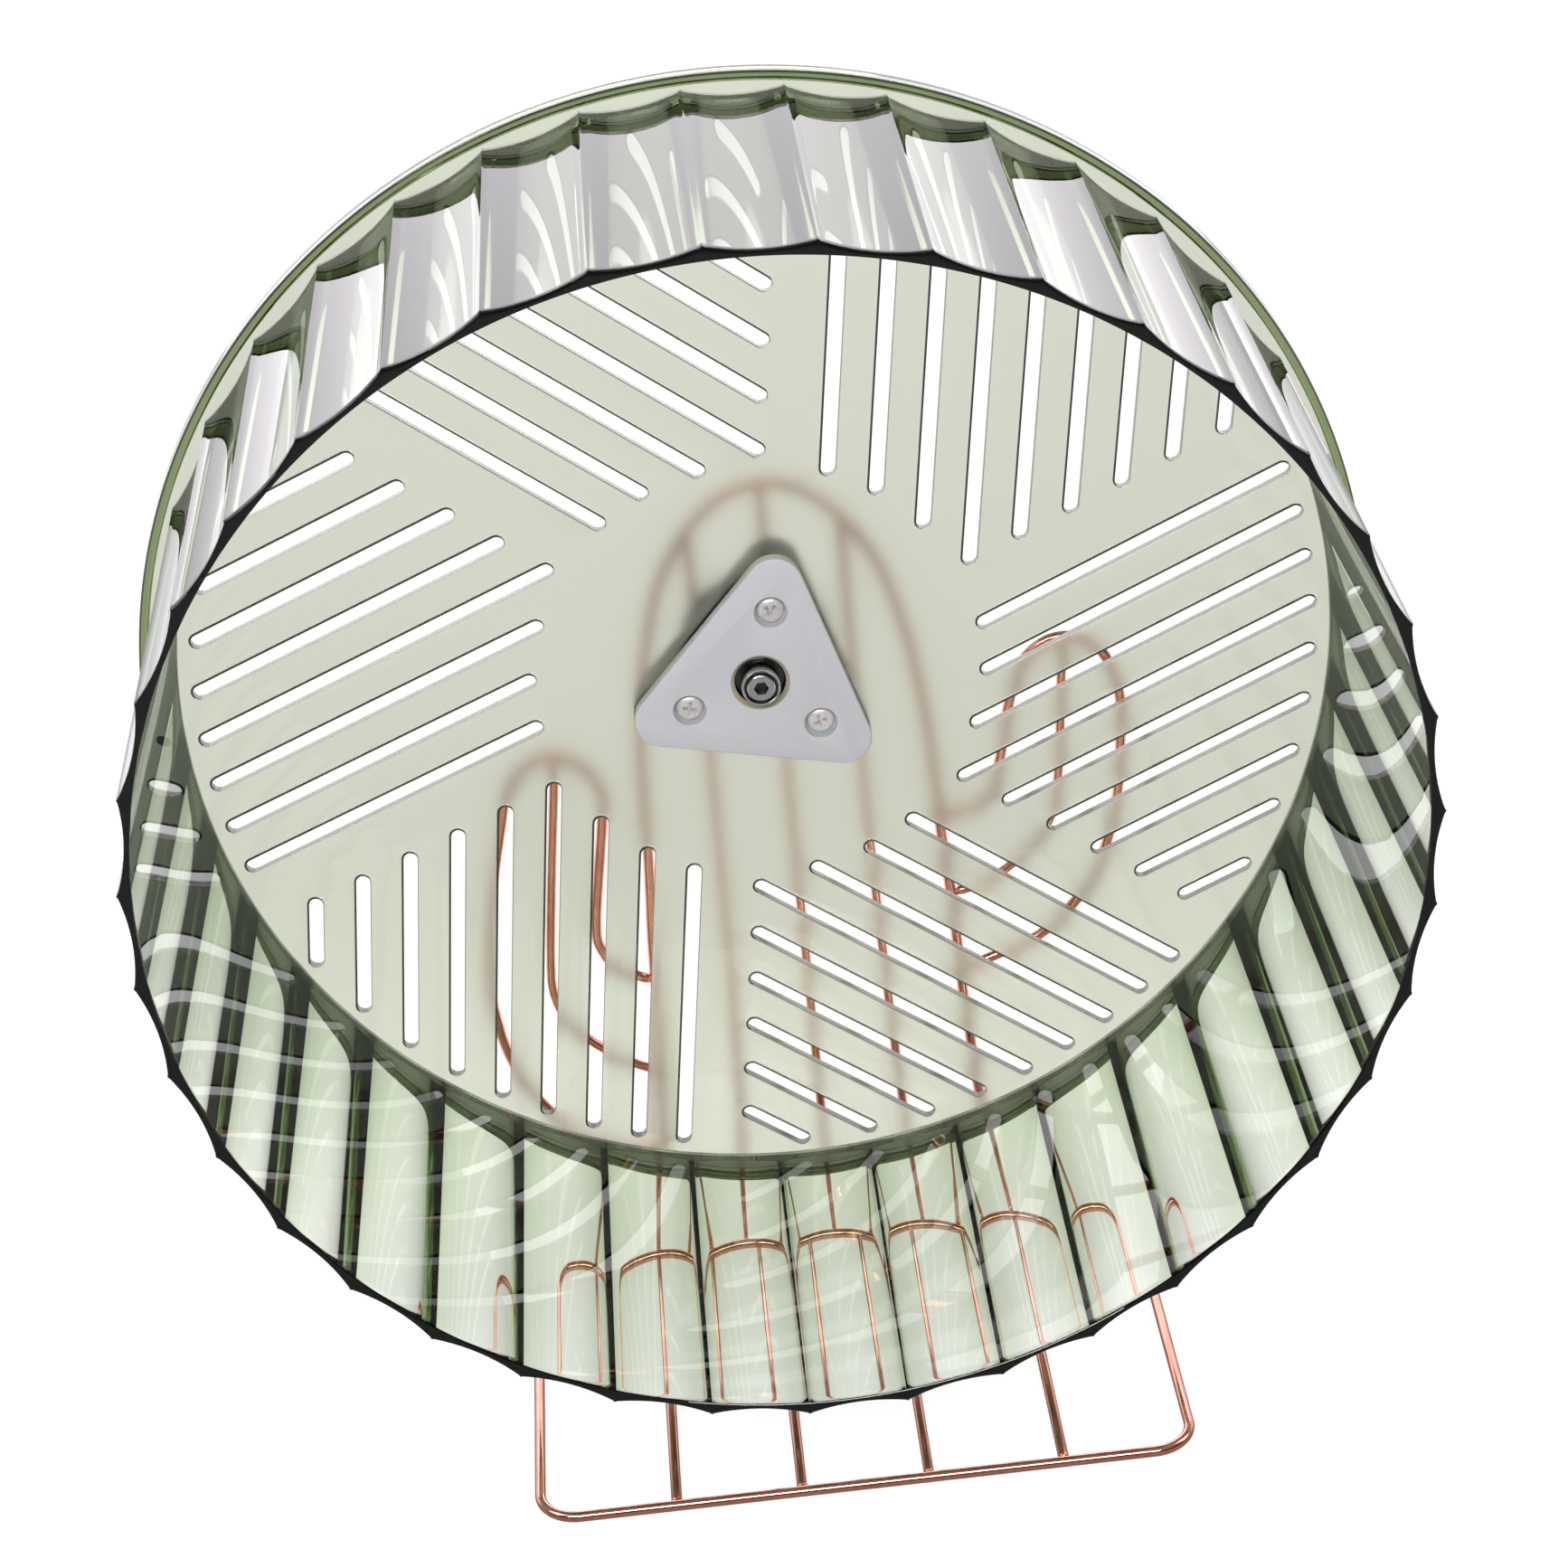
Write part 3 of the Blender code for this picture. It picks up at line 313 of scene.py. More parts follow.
def with_soft_ends(points):
    """Doubles the end points, so that only the last bit of the wire is pinched."""
    first = points[0] + (points[1] - points[0]).normalized() * SOFT_END
    last = points[-1] + (points[-2] - points[-1]).normalized() * SOFT_END
    return [points[0], first, *points[1:-1], last, points[-1]]


# Base frame. One closed loop of the thick wire that lies flat on the table, with four wires across it.
BASE_HALF_WIDTH = 69.6 * MM
BASE_FRONT = -75.4 * MM
BASE_REAR = 18.7 * MM
BASE_CORNER = 8.5 * MM
CORNER_STEPS = 14
loop = []
base_corners = (
    (BASE_HALF_WIDTH - BASE_CORNER, BASE_REAR - BASE_CORNER),
    (BASE_CORNER - BASE_HALF_WIDTH, BASE_REAR - BASE_CORNER),
    (BASE_CORNER - BASE_HALF_WIDTH, BASE_FRONT + BASE_CORNER),
    (BASE_HALF_WIDTH - BASE_CORNER, BASE_FRONT + BASE_CORNER),
)
for turn, (x, back) in enumerate(base_corners):
    for k in range(CORNER_STEPS + 1):
        angle = math.pi / 2 * (turn + k / CORNER_STEPS)
        loop.append(on_stand(x + BASE_CORNER * math.cos(angle), BASE_LIFT, back + BASE_CORNER * math.sin(angle)))
add_wire("floor_frame", loop, BASE_LIFT, "base_frame_wire", closed=True)
welds = []
cross_wires = (
    ("base_outer_cross_wire_left", -40.65, THICK_WIRE), ("base_inner_cross_wire_left", -14.0, THIN_WIRE),
    ("base_inner_cross_wire_right", 13.0, THIN_WIRE), ("base_outer_cross_wire_right", 41.7, THICK_WIRE),
)
for node, x_mm, radius in cross_wires:
    x = x_mm * MM
    reach = THICK_WIRE + WIRE_GAP
    near, far = on_stand(x, BASE_LIFT, BASE_FRONT + reach), on_stand(x, BASE_LIFT, BASE_REAR - reach)
    add_wire(node.replace("base_", "floor_"), with_soft_ends([near, far]), min(radius, BASE_LIFT), node)
    welds += [(near, BEAD), (far, BEAD)]


# Trunk. An arch of the thick wire from the floor up round the axle's plate, with three thin wires
# inside it. It stands against the back of the base frame and is welded to it.
ARCH_TOP = 190.8 * MM
ARCH_FOOT = 40.6 * MM
LEG_BOTTOM = 0.4 * MM
arch_shape = (
    (0.951, 0.082), (0.909, 0.164), (0.879, 0.25), (0.855, 0.328), (0.837, 0.433), (0.803, 0.545), (0.778, 0.669),
    (0.744, 0.737), (0.7, 0.8), (0.599, 0.8805), (0.5, 0.921), (0.405, 0.9505), (0.28, 0.9775), (0.14, 0.9945),
)
right_leg = [on_stand(ARCH_FOOT, LEG_BOTTOM)] + [on_stand(x * ARCH_FOOT, z * ARCH_TOP) for x, z in arch_shape]
left_leg = [on_stand(-ARCH_FOOT, LEG_BOTTOM)] + [on_stand(-x * ARCH_FOOT, z * ARCH_TOP) for x, z in arch_shape]
arch = smooth_route([*right_leg, on_stand(0, ARCH_TOP), *left_leg[::-1]])
add_wire("trunk_arch", with_soft_ends(arch), THICK_WIRE, "trunk_arch_wire")
for side in (-1, 1):
    welds.append((on_stand(side * ARCH_FOOT, FOOT_BEAD_HEIGHT, FOOT_BEAD_BACK), ARCH_BEAD))
KNEE_HEIGHT, SHOULDER_HEIGHT = 63 * MM, 126 * MM
ARCH_SLOPE = 0.45
uprights = (("left", -20.4, -17.7, -16.4), ("middle", 0.0, 0.0, 0.0), ("right", 20.4, 17.7, 16.4))
for side, foot, knee, top in uprights:
    above = [point for point in arch if abs(point.x - STAND_OFFSET - top * MM) < 2.5 * MM and point.z > ARCH_TOP / 2]
    arch_above = min(above, key=lambda point: abs(point.x - STAND_OFFSET - top * MM)).z
    lean = ARCH_SLOPE if top else 0.0
    end = on_stand(top * MM, arch_above - (THICK_WIRE + WIRE_GAP) * math.hypot(1, lean) - THIN_WIRE * lean)
    bend, shoulder = on_stand(knee * MM, KNEE_HEIGHT), on_stand(top * MM, SHOULDER_HEIGHT)
    route = [on_stand(foot * MM, LEG_BOTTOM), bend, shoulder, end]
    add_wire(f"trunk_wire_{side}", with_soft_ends(smooth_route(route)), THIN_WIRE, f"trunk_upright_{side}")
    welds += [(end, BEAD), (on_stand(foot * MM, FOOT_BEAD_HEIGHT, FOOT_BEAD_BACK), BEAD)]


# Arms. Each is a loop of the thick wire that leaves the trunk, bends upward and comes back to it, with
# one thin wire inside that follows the same bend.
def leg_at(height):
    """How far out the trunk's leg is at this height."""
    for low, high in zip(arch, arch[1:]):
        if low.z <= height <= high.z:
            share = (height - low.z) / (high.z - low.z)
            return low.x + share * (high.x - low.x) - STAND_OFFSET
    return ARCH_FOOT


def against_leg(point, side, height):
    """Where a wire from the point ends at the trunk's leg."""
    joint = on_stand(side * leg_at(height), height)
    heading = (joint - point).normalized()
    return joint - heading * ((THICK_WIRE + WIRE_GAP + THIN_WIRE * abs(heading.z)) / abs(heading.x))


def add_arm(name, side, reach, foot, rise, loop_shape, loop_end, inner_shape, inner_end):
    loop = [on_stand(side * x * reach, foot + z * rise) for x, z in loop_shape]
    start, end = against_leg(loop[0], side, foot), against_leg(loop[-1], side, foot + loop_end * rise)
    add_wire(f"{name}_loop", with_soft_ends(smooth_route([start, *loop, end])), THICK_WIRE, f"{name}_loop")
    inner = [on_stand(side * x * reach, foot + z * rise) for x, z in inner_shape]
    top = on_stand(side * inner_shape[0][0] * reach, foot + rise - THICK_WIRE - WIRE_GAP)
    inner_foot = against_leg(inner[-1], side, foot + inner_end * rise)
    add_wire(f"{name}_inner", with_soft_ends(smooth_route([top, *inner, inner_foot])), THIN_WIRE, f"{name}_inner")
    welds.extend([(start, LOOP_BEAD), (end, LOOP_BEAD), (top, INNER_BEAD), (inner_foot, INNER_BEAD)])


left_loop = (
    (0.66, 0.012), (0.793, 0.059), (0.873, 0.124), (0.93, 0.193), (0.974, 0.28), (0.993, 0.36), (1.0, 0.46),
    (0.966, 0.639), (0.895, 0.845), (0.86, 0.926), (0.793, 0.984), (0.713, 1.0), (0.627, 0.97), (0.575, 0.905),
    (0.584, 0.831), (0.643, 0.585), (0.637, 0.515), (0.597, 0.469), (0.53, 0.439),
)
left_inner = (
    (0.716, 0.935), (0.76, 0.72), (0.798, 0.516), (0.805, 0.42), (0.772, 0.348), (0.696, 0.28), (0.57, 0.215),
)
add_arm("left_arm", -1, 71.4 * MM, 28.7 * MM, 103.5 * MM, left_loop, 0.421, left_inner, 0.195)
right_loop = (
    (0.57, 0.03), (0.716, 0.083), (0.818, 0.164), (0.886, 0.245), (0.939, 0.357), (0.98, 0.517), (0.995, 0.663),
    (1.0, 0.808), (0.964, 0.925), (0.91, 0.983), (0.842, 1.0), (0.775, 0.985), (0.715, 0.93), (0.669, 0.81),
    (0.635, 0.658), (0.601, 0.561), (0.545, 0.515),
)
right_inner = (
    (0.838, 0.94), (0.83, 0.877), (0.819, 0.735), (0.804, 0.586), (0.779, 0.466), (0.725, 0.388), (0.627, 0.305),
    (0.53, 0.262),
)
add_arm("right_arm", 1, 74.0 * MM, 66.7 * MM, 80.4 * MM, right_loop, 0.511, right_inner, 0.25)


# Weld beads. Small uneven drops of melted wire at every joint between wires, plated with the rest.
def add_piece(name, mesh, material, body, replaced=()):
    piece = bpy.data.objects.new(name, mesh)
    bpy.context.scene.collection.objects.link(piece)
    mesh.materials.append(material)
    if replaced:
        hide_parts(*replaced)
    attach(piece, body)
    return piece


bead_mesh = bpy.data.meshes.new("weld_beads")
work = bmesh.new()
chance = random.Random(4)
BEAD_STRETCH, BEAD_WOBBLE, BEAD_CLEARANCE = 1.15, 0.12, 0.05 * MM
for centre, radius in welds:
    made = bmesh.ops.create_icosphere(work, subdivisions=3, radius=radius)["verts"]
    wobble = [Vector((chance.uniform(-1, 1), chance.uniform(-1, 1), chance.uniform(-1, 1))) for _ in range(3)]
    for vert in made:
        heading = vert.co.normalized()
        swell = 1 + BEAD_WOBBLE * sum(math.sin(3 * heading.dot(way)) for way in wobble)
        lifted = centre + Vector((vert.co.x * BEAD_STRETCH, vert.co.y, vert.co.z)) * swell
        vert.co = Vector((lifted.x, lifted.y, max(lifted.z, BEAD_CLEARANCE)))
work.to_mesh(bead_mesh)
work.free()
bead_mesh.shade_smooth()
add_piece("weld_beads", bead_mesh, copper, "stand")


# Axle and its plate. A turned steel shaft with a dull plating, welded to a round plate that
# carries it between the wires. A washer and a hex socket screw close its front end.
nickel = streaked_metal("bright_nickel", 1500.0, (0.74, 0.74, 0.73), (0.52, 0.53, 0.54), (0.12, 0.3))


def finish_node(node, material):
    """Gives its material to a CAD node that is shown as it is."""
    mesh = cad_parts[node].data
    mesh.materials.clear()
    mesh.materials.append(material)


# The shaft is dull plated steel; the plate takes the same dark steel as painted shade, for the shade it lies in behind
# the disc.
dull_steel_and_painted_shade = streaked_metal("dull_plated_steel_and_painted_shade", 1500.0, (0.32, 0.33, 0.31), (0.2, 0.21, 0.2), (0.25, 0.45))
for node in ("axle_shaft", "axle_plate"):
    finish_node(node, dull_steel_and_painted_shade)


# Where two faces turn by more than so many degrees, the edge between them isn't smoothed.
TURNED_EDGE, CUT_EDGE, DISC_EDGE, DRUM_EDGE, COVER_EDGE = 28, 30, 12, 24, 30


def lathe(name, profile, steps=96, middle=(0.0, 0.0)):
    """A profile of (radius, how far back) that starts and ends on the line it is turned about."""
    work = bmesh.new()
    rings = []
    for radius, back in profile:
        if radius < 1e-6:
            rings.append([work.verts.new(Vector((middle[0], back, middle[1])) * MM)])
            continue
        rings.append([])
        for k in range(steps):
            angle = math.tau * k / steps
            x, z = middle[0] + radius * math.cos(angle), middle[1] + radius * math.sin(angle)
            rings[-1].append(work.verts.new(Vector((x, back, z)) * MM))
    for one, two in zip(rings, rings[1:]):
        for k in range(steps):
            corner = [one[k % len(one)], one[(k + 1) % len(one)], two[(k + 1) % len(two)], two[k % len(two)]]
            unique = list(dict.fromkeys(corner))
            if len(unique) > 2:
                work.faces.new(unique)
    return finish_mesh(name, work, TURNED_EDGE)


def finish_mesh(name, work, sharp):
    """Turns the faces outward, moves the piece from the wheel's axis to its place and smooths it."""
    bmesh.ops.recalc_face_normals(work, faces=work.faces)
    bmesh.ops.translate(work, verts=work.verts, vec=(0, FACE_PLACE, AXLE_HEIGHT))
    mesh = bpy.data.meshes.new(name)
    work.to_mesh(mesh)
    work.free()
    mesh.shade_smooth()
    mesh.set_sharp_from_angle(angle=math.radians(sharp))
    return mesh


def cut_away(piece, cutter):
    """Cuts one piece from another for good, and drops the cutter."""
    modifier = piece.modifiers.new("cut", "BOOLEAN")
    modifier.operation = "DIFFERENCE"
    modifier.solver = "EXACT"
    modifier.object = cutter
    bpy.context.view_layer.update()
    graph = bpy.context.evaluated_depsgraph_get()
    mesh = bpy.data.meshes.new_from_object(piece.evaluated_get(graph))
    piece.modifiers.clear()
    piece.data = mesh
    mesh.set_sharp_from_angle(angle=math.radians(CUT_EDGE))
    bpy.data.objects.remove(cutter, do_unlink=True)


def loose_piece(name, mesh):
    piece = bpy.data.objects.new(name, mesh)
    bpy.context.scene.collection.objects.link(piece)
    return piece


screw_profile = (
    (0, -6.0), (2.75, -6.0), (2.95, -5.85), (3.0, -5.3), (3.5, -5.3), (3.55, -5.85), (3.7, -6.0), (3.9, -5.95),
    (4.05, -5.75), (4.1, -5.5), (4.1, -0.95), (3.95, -0.8), (1.95, -0.8), (1.95, 7.9), (0, 7.9),
)
end_screw = add_piece(
    "hex_socket_screw", lathe("hex_socket_screw", screw_profile), nickel, "stand", ["axle_end_screw"],
)
socket_profile = ((0, -7.0), (1.6, -7.0), (1.6, -3.9), (0, -3.4))
cut_away(end_screw, loose_piece("socket", lathe("socket", socket_profile, steps=6)))
# A black steel that serves as painted shade: it darkens the screw's socket and groove and the cover hole's plastic
# inner edge, and makes the washer deep in the hole black.
black_steel_and_painted_shade = streaked_metal("painted_shade_black_steel", 2500.0, (0.1, 0.1, 0.1), (0.05, 0.05, 0.05), (0.2, 0.4))
finish_node("axle_washer", black_steel_and_painted_shade)
end_screw.data.materials.append(black_steel_and_painted_shade)
# Painted shade: the socket and the groove in the screw's end take the black steel.
for face in end_screw.data.polygons:
    out = Vector((face.center.x, face.center.z - AXLE_HEIGHT)).length / MM
    back = (face.center.y - FACE_PLACE) / MM
    in_socket = out < 1.75 and back > -5.98
    in_groove = 2.9 < out < 3.6 and back > -5.9
    face.material_index = 1 if in_socket or in_groove else 0


# Ball bearing. A sealed steel bearing of the common size for an 8 mm axle: two rings, seven balls in a
# nylon cage and two pressed shields. It is pushed into the hub from the front.
# The bearing's steel is painted darker than bare ground steel, as painted shade of the deep hole it sits in.
ground_steel_with_painted_shade = streaked_metal("ground_bearing_steel_with_painted_shade", 2200.0, (0.3, 0.3, 0.3), (0.2, 0.2, 0.21), (0.18, 0.38))
for node in ("bearing_inner_ring", "bearing_outer_ring", "bearing_front_shield", "bearing_rear_shield"):
    finish_node(node, ground_steel_with_painted_shade)
for number in range(1, 8):
    finish_node(f"bearing_ball_{number}", nickel)


def cloudy_plastic(name, noise, light, dark, roughness, glow_through, glow_depth=None):
    """A plastic that lets light a little way in, with a soft uneven colour."""
    material, tree, coat = new_material(name)
    scale, detail = noise
    cloudy = add_node(tree, "ShaderNodeTexNoise", {"Scale": scale, "Detail": detail}).outputs[0]
    tree.links.new(mix_colours(tree, cloudy, (*light, 1), (*dark, 1)), coat["Base Color"])
    tree.links.new(spread(tree, cloudy, *roughness), coat["Roughness"])
    coat["Subsurface Weight"].default_value = glow_through
    if glow_depth:
        coat["Subsurface Scale"].default_value = glow_depth
    return material


nylon = cloudy_plastic("natural_nylon", (300.0, 3.0), (0.72, 0.69, 0.6), (0.6, 0.56, 0.46), (0.4, 0.6), 0.1)
finish_node("bearing_cage", nylon)


# Back disc. Clear green plastic moulded as one piece: a dished plate with six groups of slots, a raised
# rim, and a triangular block behind it for the bearing. Its front is polished and its back is frosted.
moulding, given, results = make_group(
    "moulding_ripple", [("Scale", "NodeSocketFloat", 30.0), ("Height", "NodeSocketFloat", 1.0)],
    [("Height", "NodeSocketFloat"), ("Handling", "NodeSocketFloat")],
)
place = add_node(moulding, "ShaderNodeTexCoord").outputs["Object"]
ripple = add_node(moulding, "ShaderNodeTexNoise", {"Vector": place, "Scale": given["Scale"], "Detail": 1.0}).outputs[0]
moulding.links.new(calculate(moulding, "MULTIPLY", ripple, given["Height"]), results["Height"])
scuffs = add_node(
    moulding, "ShaderNodeTexNoise", {"Vector": place, "Scale": 260.0, "Detail": 5.0, "Roughness": 0.7},
).outputs[0]
scuff_mask = add_node(moulding, "ShaderNodeMapRange", {"Value": scuffs, "From Min": 0.62, "From Max": 0.75}).outputs[0]
moulding.links.new(scuff_mask, results["Handling"])


def clear_plastic(name, smooth, frosted, ripple_scale, ripple_depth, take, density, painted_shade_second_hand=(1, 1, 1)):
    """Tinted clear plastic. It swallows light by depth, and its frosted faces scatter it. A smooth face met from
    outside by any ray but the camera's is darkened by a painted shade.
    """
    material, tree, coat = new_material(name)
    coat["Transmission Weight"].default_value = 1.0
    coat["IOR"].default_value = 1.54
    marks = use_group(tree, moulding, Scale=ripple_scale, Height=1.0)
    frost = add_node(tree, "ShaderNodeAttribute", attribute_name="frost").outputs["Fac"]
    # The colour attribute read here darkens the plastic with painted shade: on the slots' edges, the rim's front and
    # the drum's lip.
    painted_shade_tone = add_node(tree, "ShaderNodeAttribute", attribute_name="painted_shade_tone").outputs["Color"]
    polish = spread(tree, marks["Handling"], smooth, smooth + 0.05)
    tree.links.new(add_node(tree, "ShaderNodeMix", {0: frost, 2: polish, 3: frosted}).outputs[0], coat["Roughness"])
    bump = add_node(tree, "ShaderNodeBump", {"Height": marks["Height"], "Strength": 1.0, "Distance": ripple_depth})
    tree.links.new(bump.outputs[0], coat["Normal"])
    looked_at = add_node(tree, "ShaderNodeLightPath").outputs["Is Camera Ray"]
    from_within = add_node(tree, "ShaderNodeNewGeometry").outputs["Backfacing"]
    open_to_view = calculate(tree, "MAXIMUM", calculate(tree, "MAXIMUM", looked_at, from_within), frost)
    # Painted shade: a smooth face met from outside by any ray but the camera's takes the darker colour.
    shade_paint = mix_colours(tree, open_to_view, (*painted_shade_second_hand, 1), shade(1.0))
    tree.links.new(mix_colours(tree, 1.0, shade_paint, painted_shade_tone, "MULTIPLY"), coat["Base Color"])
    depth = add_node(tree, "ShaderNodeVolumeAbsorption", {"Color": (*take, 1), "Density": density})
    tree.links.new(depth.outputs[0], tree.nodes["Material Output"].inputs["Volume"])
    return material


# The disc's polished front is painted much darker where a reflection or the drum shows it: painted shade.
disc_plastic = clear_plastic(
    "frosted_smoke_green", 0.02, 0.42, 25.0, 0.00003, (0.27, 0.33, 0.05), 272.0, painted_shade_second_hand=(0.11, 0.12, 0.10),
)

PLATE = 2.2
DISH = 1.82e-4
POCKET_FLOOR, BLOCK_BACK = 7.8, 9.4
POCKET_RADIUS, SHAFT_RADIUS = 11.3, 7.5
RIM_START, RIM_STEPS = 127.1, 390
FILL_FROM, FILL_TO, FILL_STEP, FILL_SPACING = 30, 125, 6, 8
SLOT_MARGIN, HUB_MARGIN = 1.0, 1.4
SLOT_FRONT, SLOT_BACK, SLOT_END_STEPS = 1.5, 1.65, 8
SLOT_GROUPS, SLOTS_PER_GROUP = 6, 9
SLOT_FIRST, SLOT_PITCH = 12.1, 10.17
SLOT_CIRCLE, PLAIN_MIDDLE = 118.3, 47.0
GROUP_MARGIN, SHORTEST_SLOT = 1.2, 6.6
SLOT_TURN = math.radians(-7.67)
EDGE_DROP = 0.08
HUB_INRADIUS, HUB_CORNER = 17.1, 6.0
HUB_TURN = math.radians(-12.8)
rim_profile = (
    (127.2, 2.6), (127.4, 2.42), (127.8, 2.4), (128.7, 2.4), (129.0, 2.45), (129.12, 2.65), (129.3, 4.2), (129.39, 5.7),
    (129.32, 5.92), (129.1, 6.0), (127.8, 6.0), (127.4, 5.95), (127.2, 5.7),
)
flat, edges, slots = [], [], []


def add_outline(points):
    start = len(flat)
    flat.extend(points)
    edges.extend((start + k, start + (k + 1) % len(points)) for k in range(len(points)))
    return range(start, len(flat))


def circle(radius, steps):
    return [(radius * math.cos(math.tau * k / steps), radius * math.sin(math.tau * k / steps)) for k in range(steps)]


def hub_outline(inradius, corner, steps=10):
    """A triangle with round corners, one of them nearly on top."""
    points = []
    for side in range(3):
        middle = math.pi / 2 + HUB_TURN + side * math.tau / 3
        far = 2 * (inradius - corner)
        for k in range(steps + 1):
            angle = middle + math.tau / 3 * (k / steps - 0.5)
            x = far * math.cos(middle) + corner * math.cos(angle)
            points.append((x, far * math.sin(middle) + corner * math.sin(angle)))
    return points


def edge_width(angle):
    """How wide the slot's softened edge is on this side of it, which also sets how dark it is painted: widest above and
    to the left.
    """
    return 0.34 - 0.21 * math.sin(angle + math.radians(150))


def slot_outline(offset, low, high, turn, half, softened=0.0):
    points = []
    for centre, start in ((high - SLOT_FRONT, 0), (low + SLOT_FRONT, math.pi)):
        for k in range(SLOT_END_STEPS + 1):
            angle = start + math.pi * k / SLOT_END_STEPS
            reach = half + softened * edge_width(angle + turn)
            points.append(Vector((offset + reach * math.cos(angle), centre + reach * math.sin(angle))))
    cos, sin = math.cos(turn), math.sin(turn)
    return [(x * cos - y * sin, x * sin + y * cos) for x, y in points]


back_places, lip_places = {}, {}
half_group = math.pi / SLOT_GROUPS
for group in range(SLOT_GROUPS):
    turn = SLOT_TURN + group * math.tau / SLOT_GROUPS
    for i in range(SLOTS_PER_GROUP):
        offset = SLOT_FIRST + SLOT_PITCH * i
        high = math.sqrt(SLOT_CIRCLE**2 - offset**2)
        beside_group = offset * math.tan(half_group) + GROUP_MARGIN / math.cos(half_group)
        low = max(beside_group, math.sqrt(max(PLAIN_MIDDLE**2 - offset**2, 0)))
        if high - low < SHORTEST_SLOT:
            continue
        made = add_outline(slot_outline(offset, low, high, turn, SLOT_FRONT, 1.0))
        lip_places.update(zip(made, slot_outline(offset, low, high, turn, SLOT_FRONT)))
        back_places.update(zip(made, slot_outline(offset, low, high, turn, SLOT_BACK)))
        slots.append((offset, low, high, turn))
add_outline(circle(SHAFT_RADIUS, 48))
add_outline(circle(POCKET_RADIUS, 72))
add_outline(hub_outline(HUB_INRADIUS, HUB_CORNER))
outer_ring = add_outline(circle(RIM_START, RIM_STEPS))


def in_slot(x, y, margin=0.0):
    for offset, low, high, turn in slots:
        cos, sin = math.cos(turn), math.sin(turn)
        u, v = x * cos + y * sin, y * cos - x * sin
        along = min(max(v, low + SLOT_FRONT), high - SLOT_FRONT)
        angle = math.atan2(v - along, u - offset)
        if math.hypot(u - offset, v - along) < SLOT_FRONT + edge_width(angle + turn) + margin:
            return True
    return False


def in_hub(x, y, inradius=HUB_INRADIUS, corner=HUB_CORNER):
    """Whether the point lies in the hub's triangle."""
    for side in range(3):
        middle = math.pi / 2 + HUB_TURN + side * math.tau / 3
        far = 2 * (inradius - corner)
        out = x * math.cos(middle) + y * math.sin(middle)
        if out < -inradius:
            return False
        beyond = math.hypot(x - far * math.cos(middle), y - far * math.sin(middle))
        if out > far + 0.5 * corner and beyond > corner:
            return False
    return True


for radius in range(FILL_FROM, FILL_TO, FILL_STEP):
    for x, y in circle(radius, max(24, round(math.tau * radius / FILL_SPACING))):
        if not in_slot(x, y, SLOT_MARGIN) and not in_hub(x, y, HUB_INRADIUS + HUB_MARGIN, HUB_CORNER + HUB_MARGIN):
            flat.append((x, y))
verts, _, triangles, originals, _, _ = delaunay_2d_cdt([Vector(point) for point in flat], edges, [], 1, 1e-5)
source = [names[0] if names else None for names in originals]


def dish_at(x, y):
    return DISH * (x * x + y * y)


def levels_at(x, y):
    """The front and back levels of the plastic here, or None where there is none."""
    radius = math.hypot(x, y)
    if radius < SHAFT_RADIUS or radius > RIM_START:
        return None
    if radius < POCKET_RADIUS:
        return "pocket", "block"
    if in_hub(x, y):
        return "front", "block"
    return None if in_slot(x, y) else ("front", "back")


work = bmesh.new()
placed = {}


def corner_at(index, level):
    if (index, level) not in placed:
        x, y = verts[index]
        name = source[index]
        if level == "back" and name in back_places:
            x, y = back_places[name]
        if level == "lip":
            x, y = lip_places[name]
        front = dish_at(x, y)
        backs = {
            "front": front, "lip": front + EDGE_DROP, "back": front + PLATE,
            "pocket": POCKET_FLOOR, "block": BLOCK_BACK,
        }
        placed[index, level] = work.verts.new((x * MM, backs[level] * MM, y * MM))
    return placed[index, level]


frost = work.faces.layers.float.new("frost")
painted_shade_tone = work.faces.layers.float_color.new("painted_shade_tone")
# Painted shade: clear leaves a face as it is, and the three edge colours paint the slots' softened edges in black, grey
# and pale.
clear, edge_painted_pale = (1, 1, 1, 1), (0.7, 0.7, 0.69, 1)
edge_painted_grey, edge_painted_black = (0.2, 0.2, 0.19, 1), (0.004, 0.005, 0.004, 1)
WIDE_EDGE, MIDDLE_EDGE = 0.32, 0.18
# Painted shade: the rim's raised front ridge and the rounding beside it are painted dark in bands, by their step along
# the profile.
rim_painted_shade = {
    1: (0.05, 0.07, 0.03, 1), 2: (0.26, 0.34, 0.15, 1), 3: (0.2, 0.27, 0.11, 1), 4: (0.02, 0.03, 0.015, 1),
    5: (0.01, 0.012, 0.01, 1),
}
sides = {}
for triangle in triangles:
    x, y = (sum(verts[k][axis] for k in triangle) / 3 for axis in (0, 1))
    levels = levels_at(x, y)
    for k in range(3):
        sides.setdefault(frozenset((triangle[k], triangle[(k + 1) % 3])), []).append(levels)
    if levels:
        work.faces.new([corner_at(k, levels[0]) for k in triangle])
        work.faces.new([corner_at(k, levels[1]) for k in triangle])[frost] = 1.0
outside = {k for k, name in enumerate(source) if name in outer_ring}
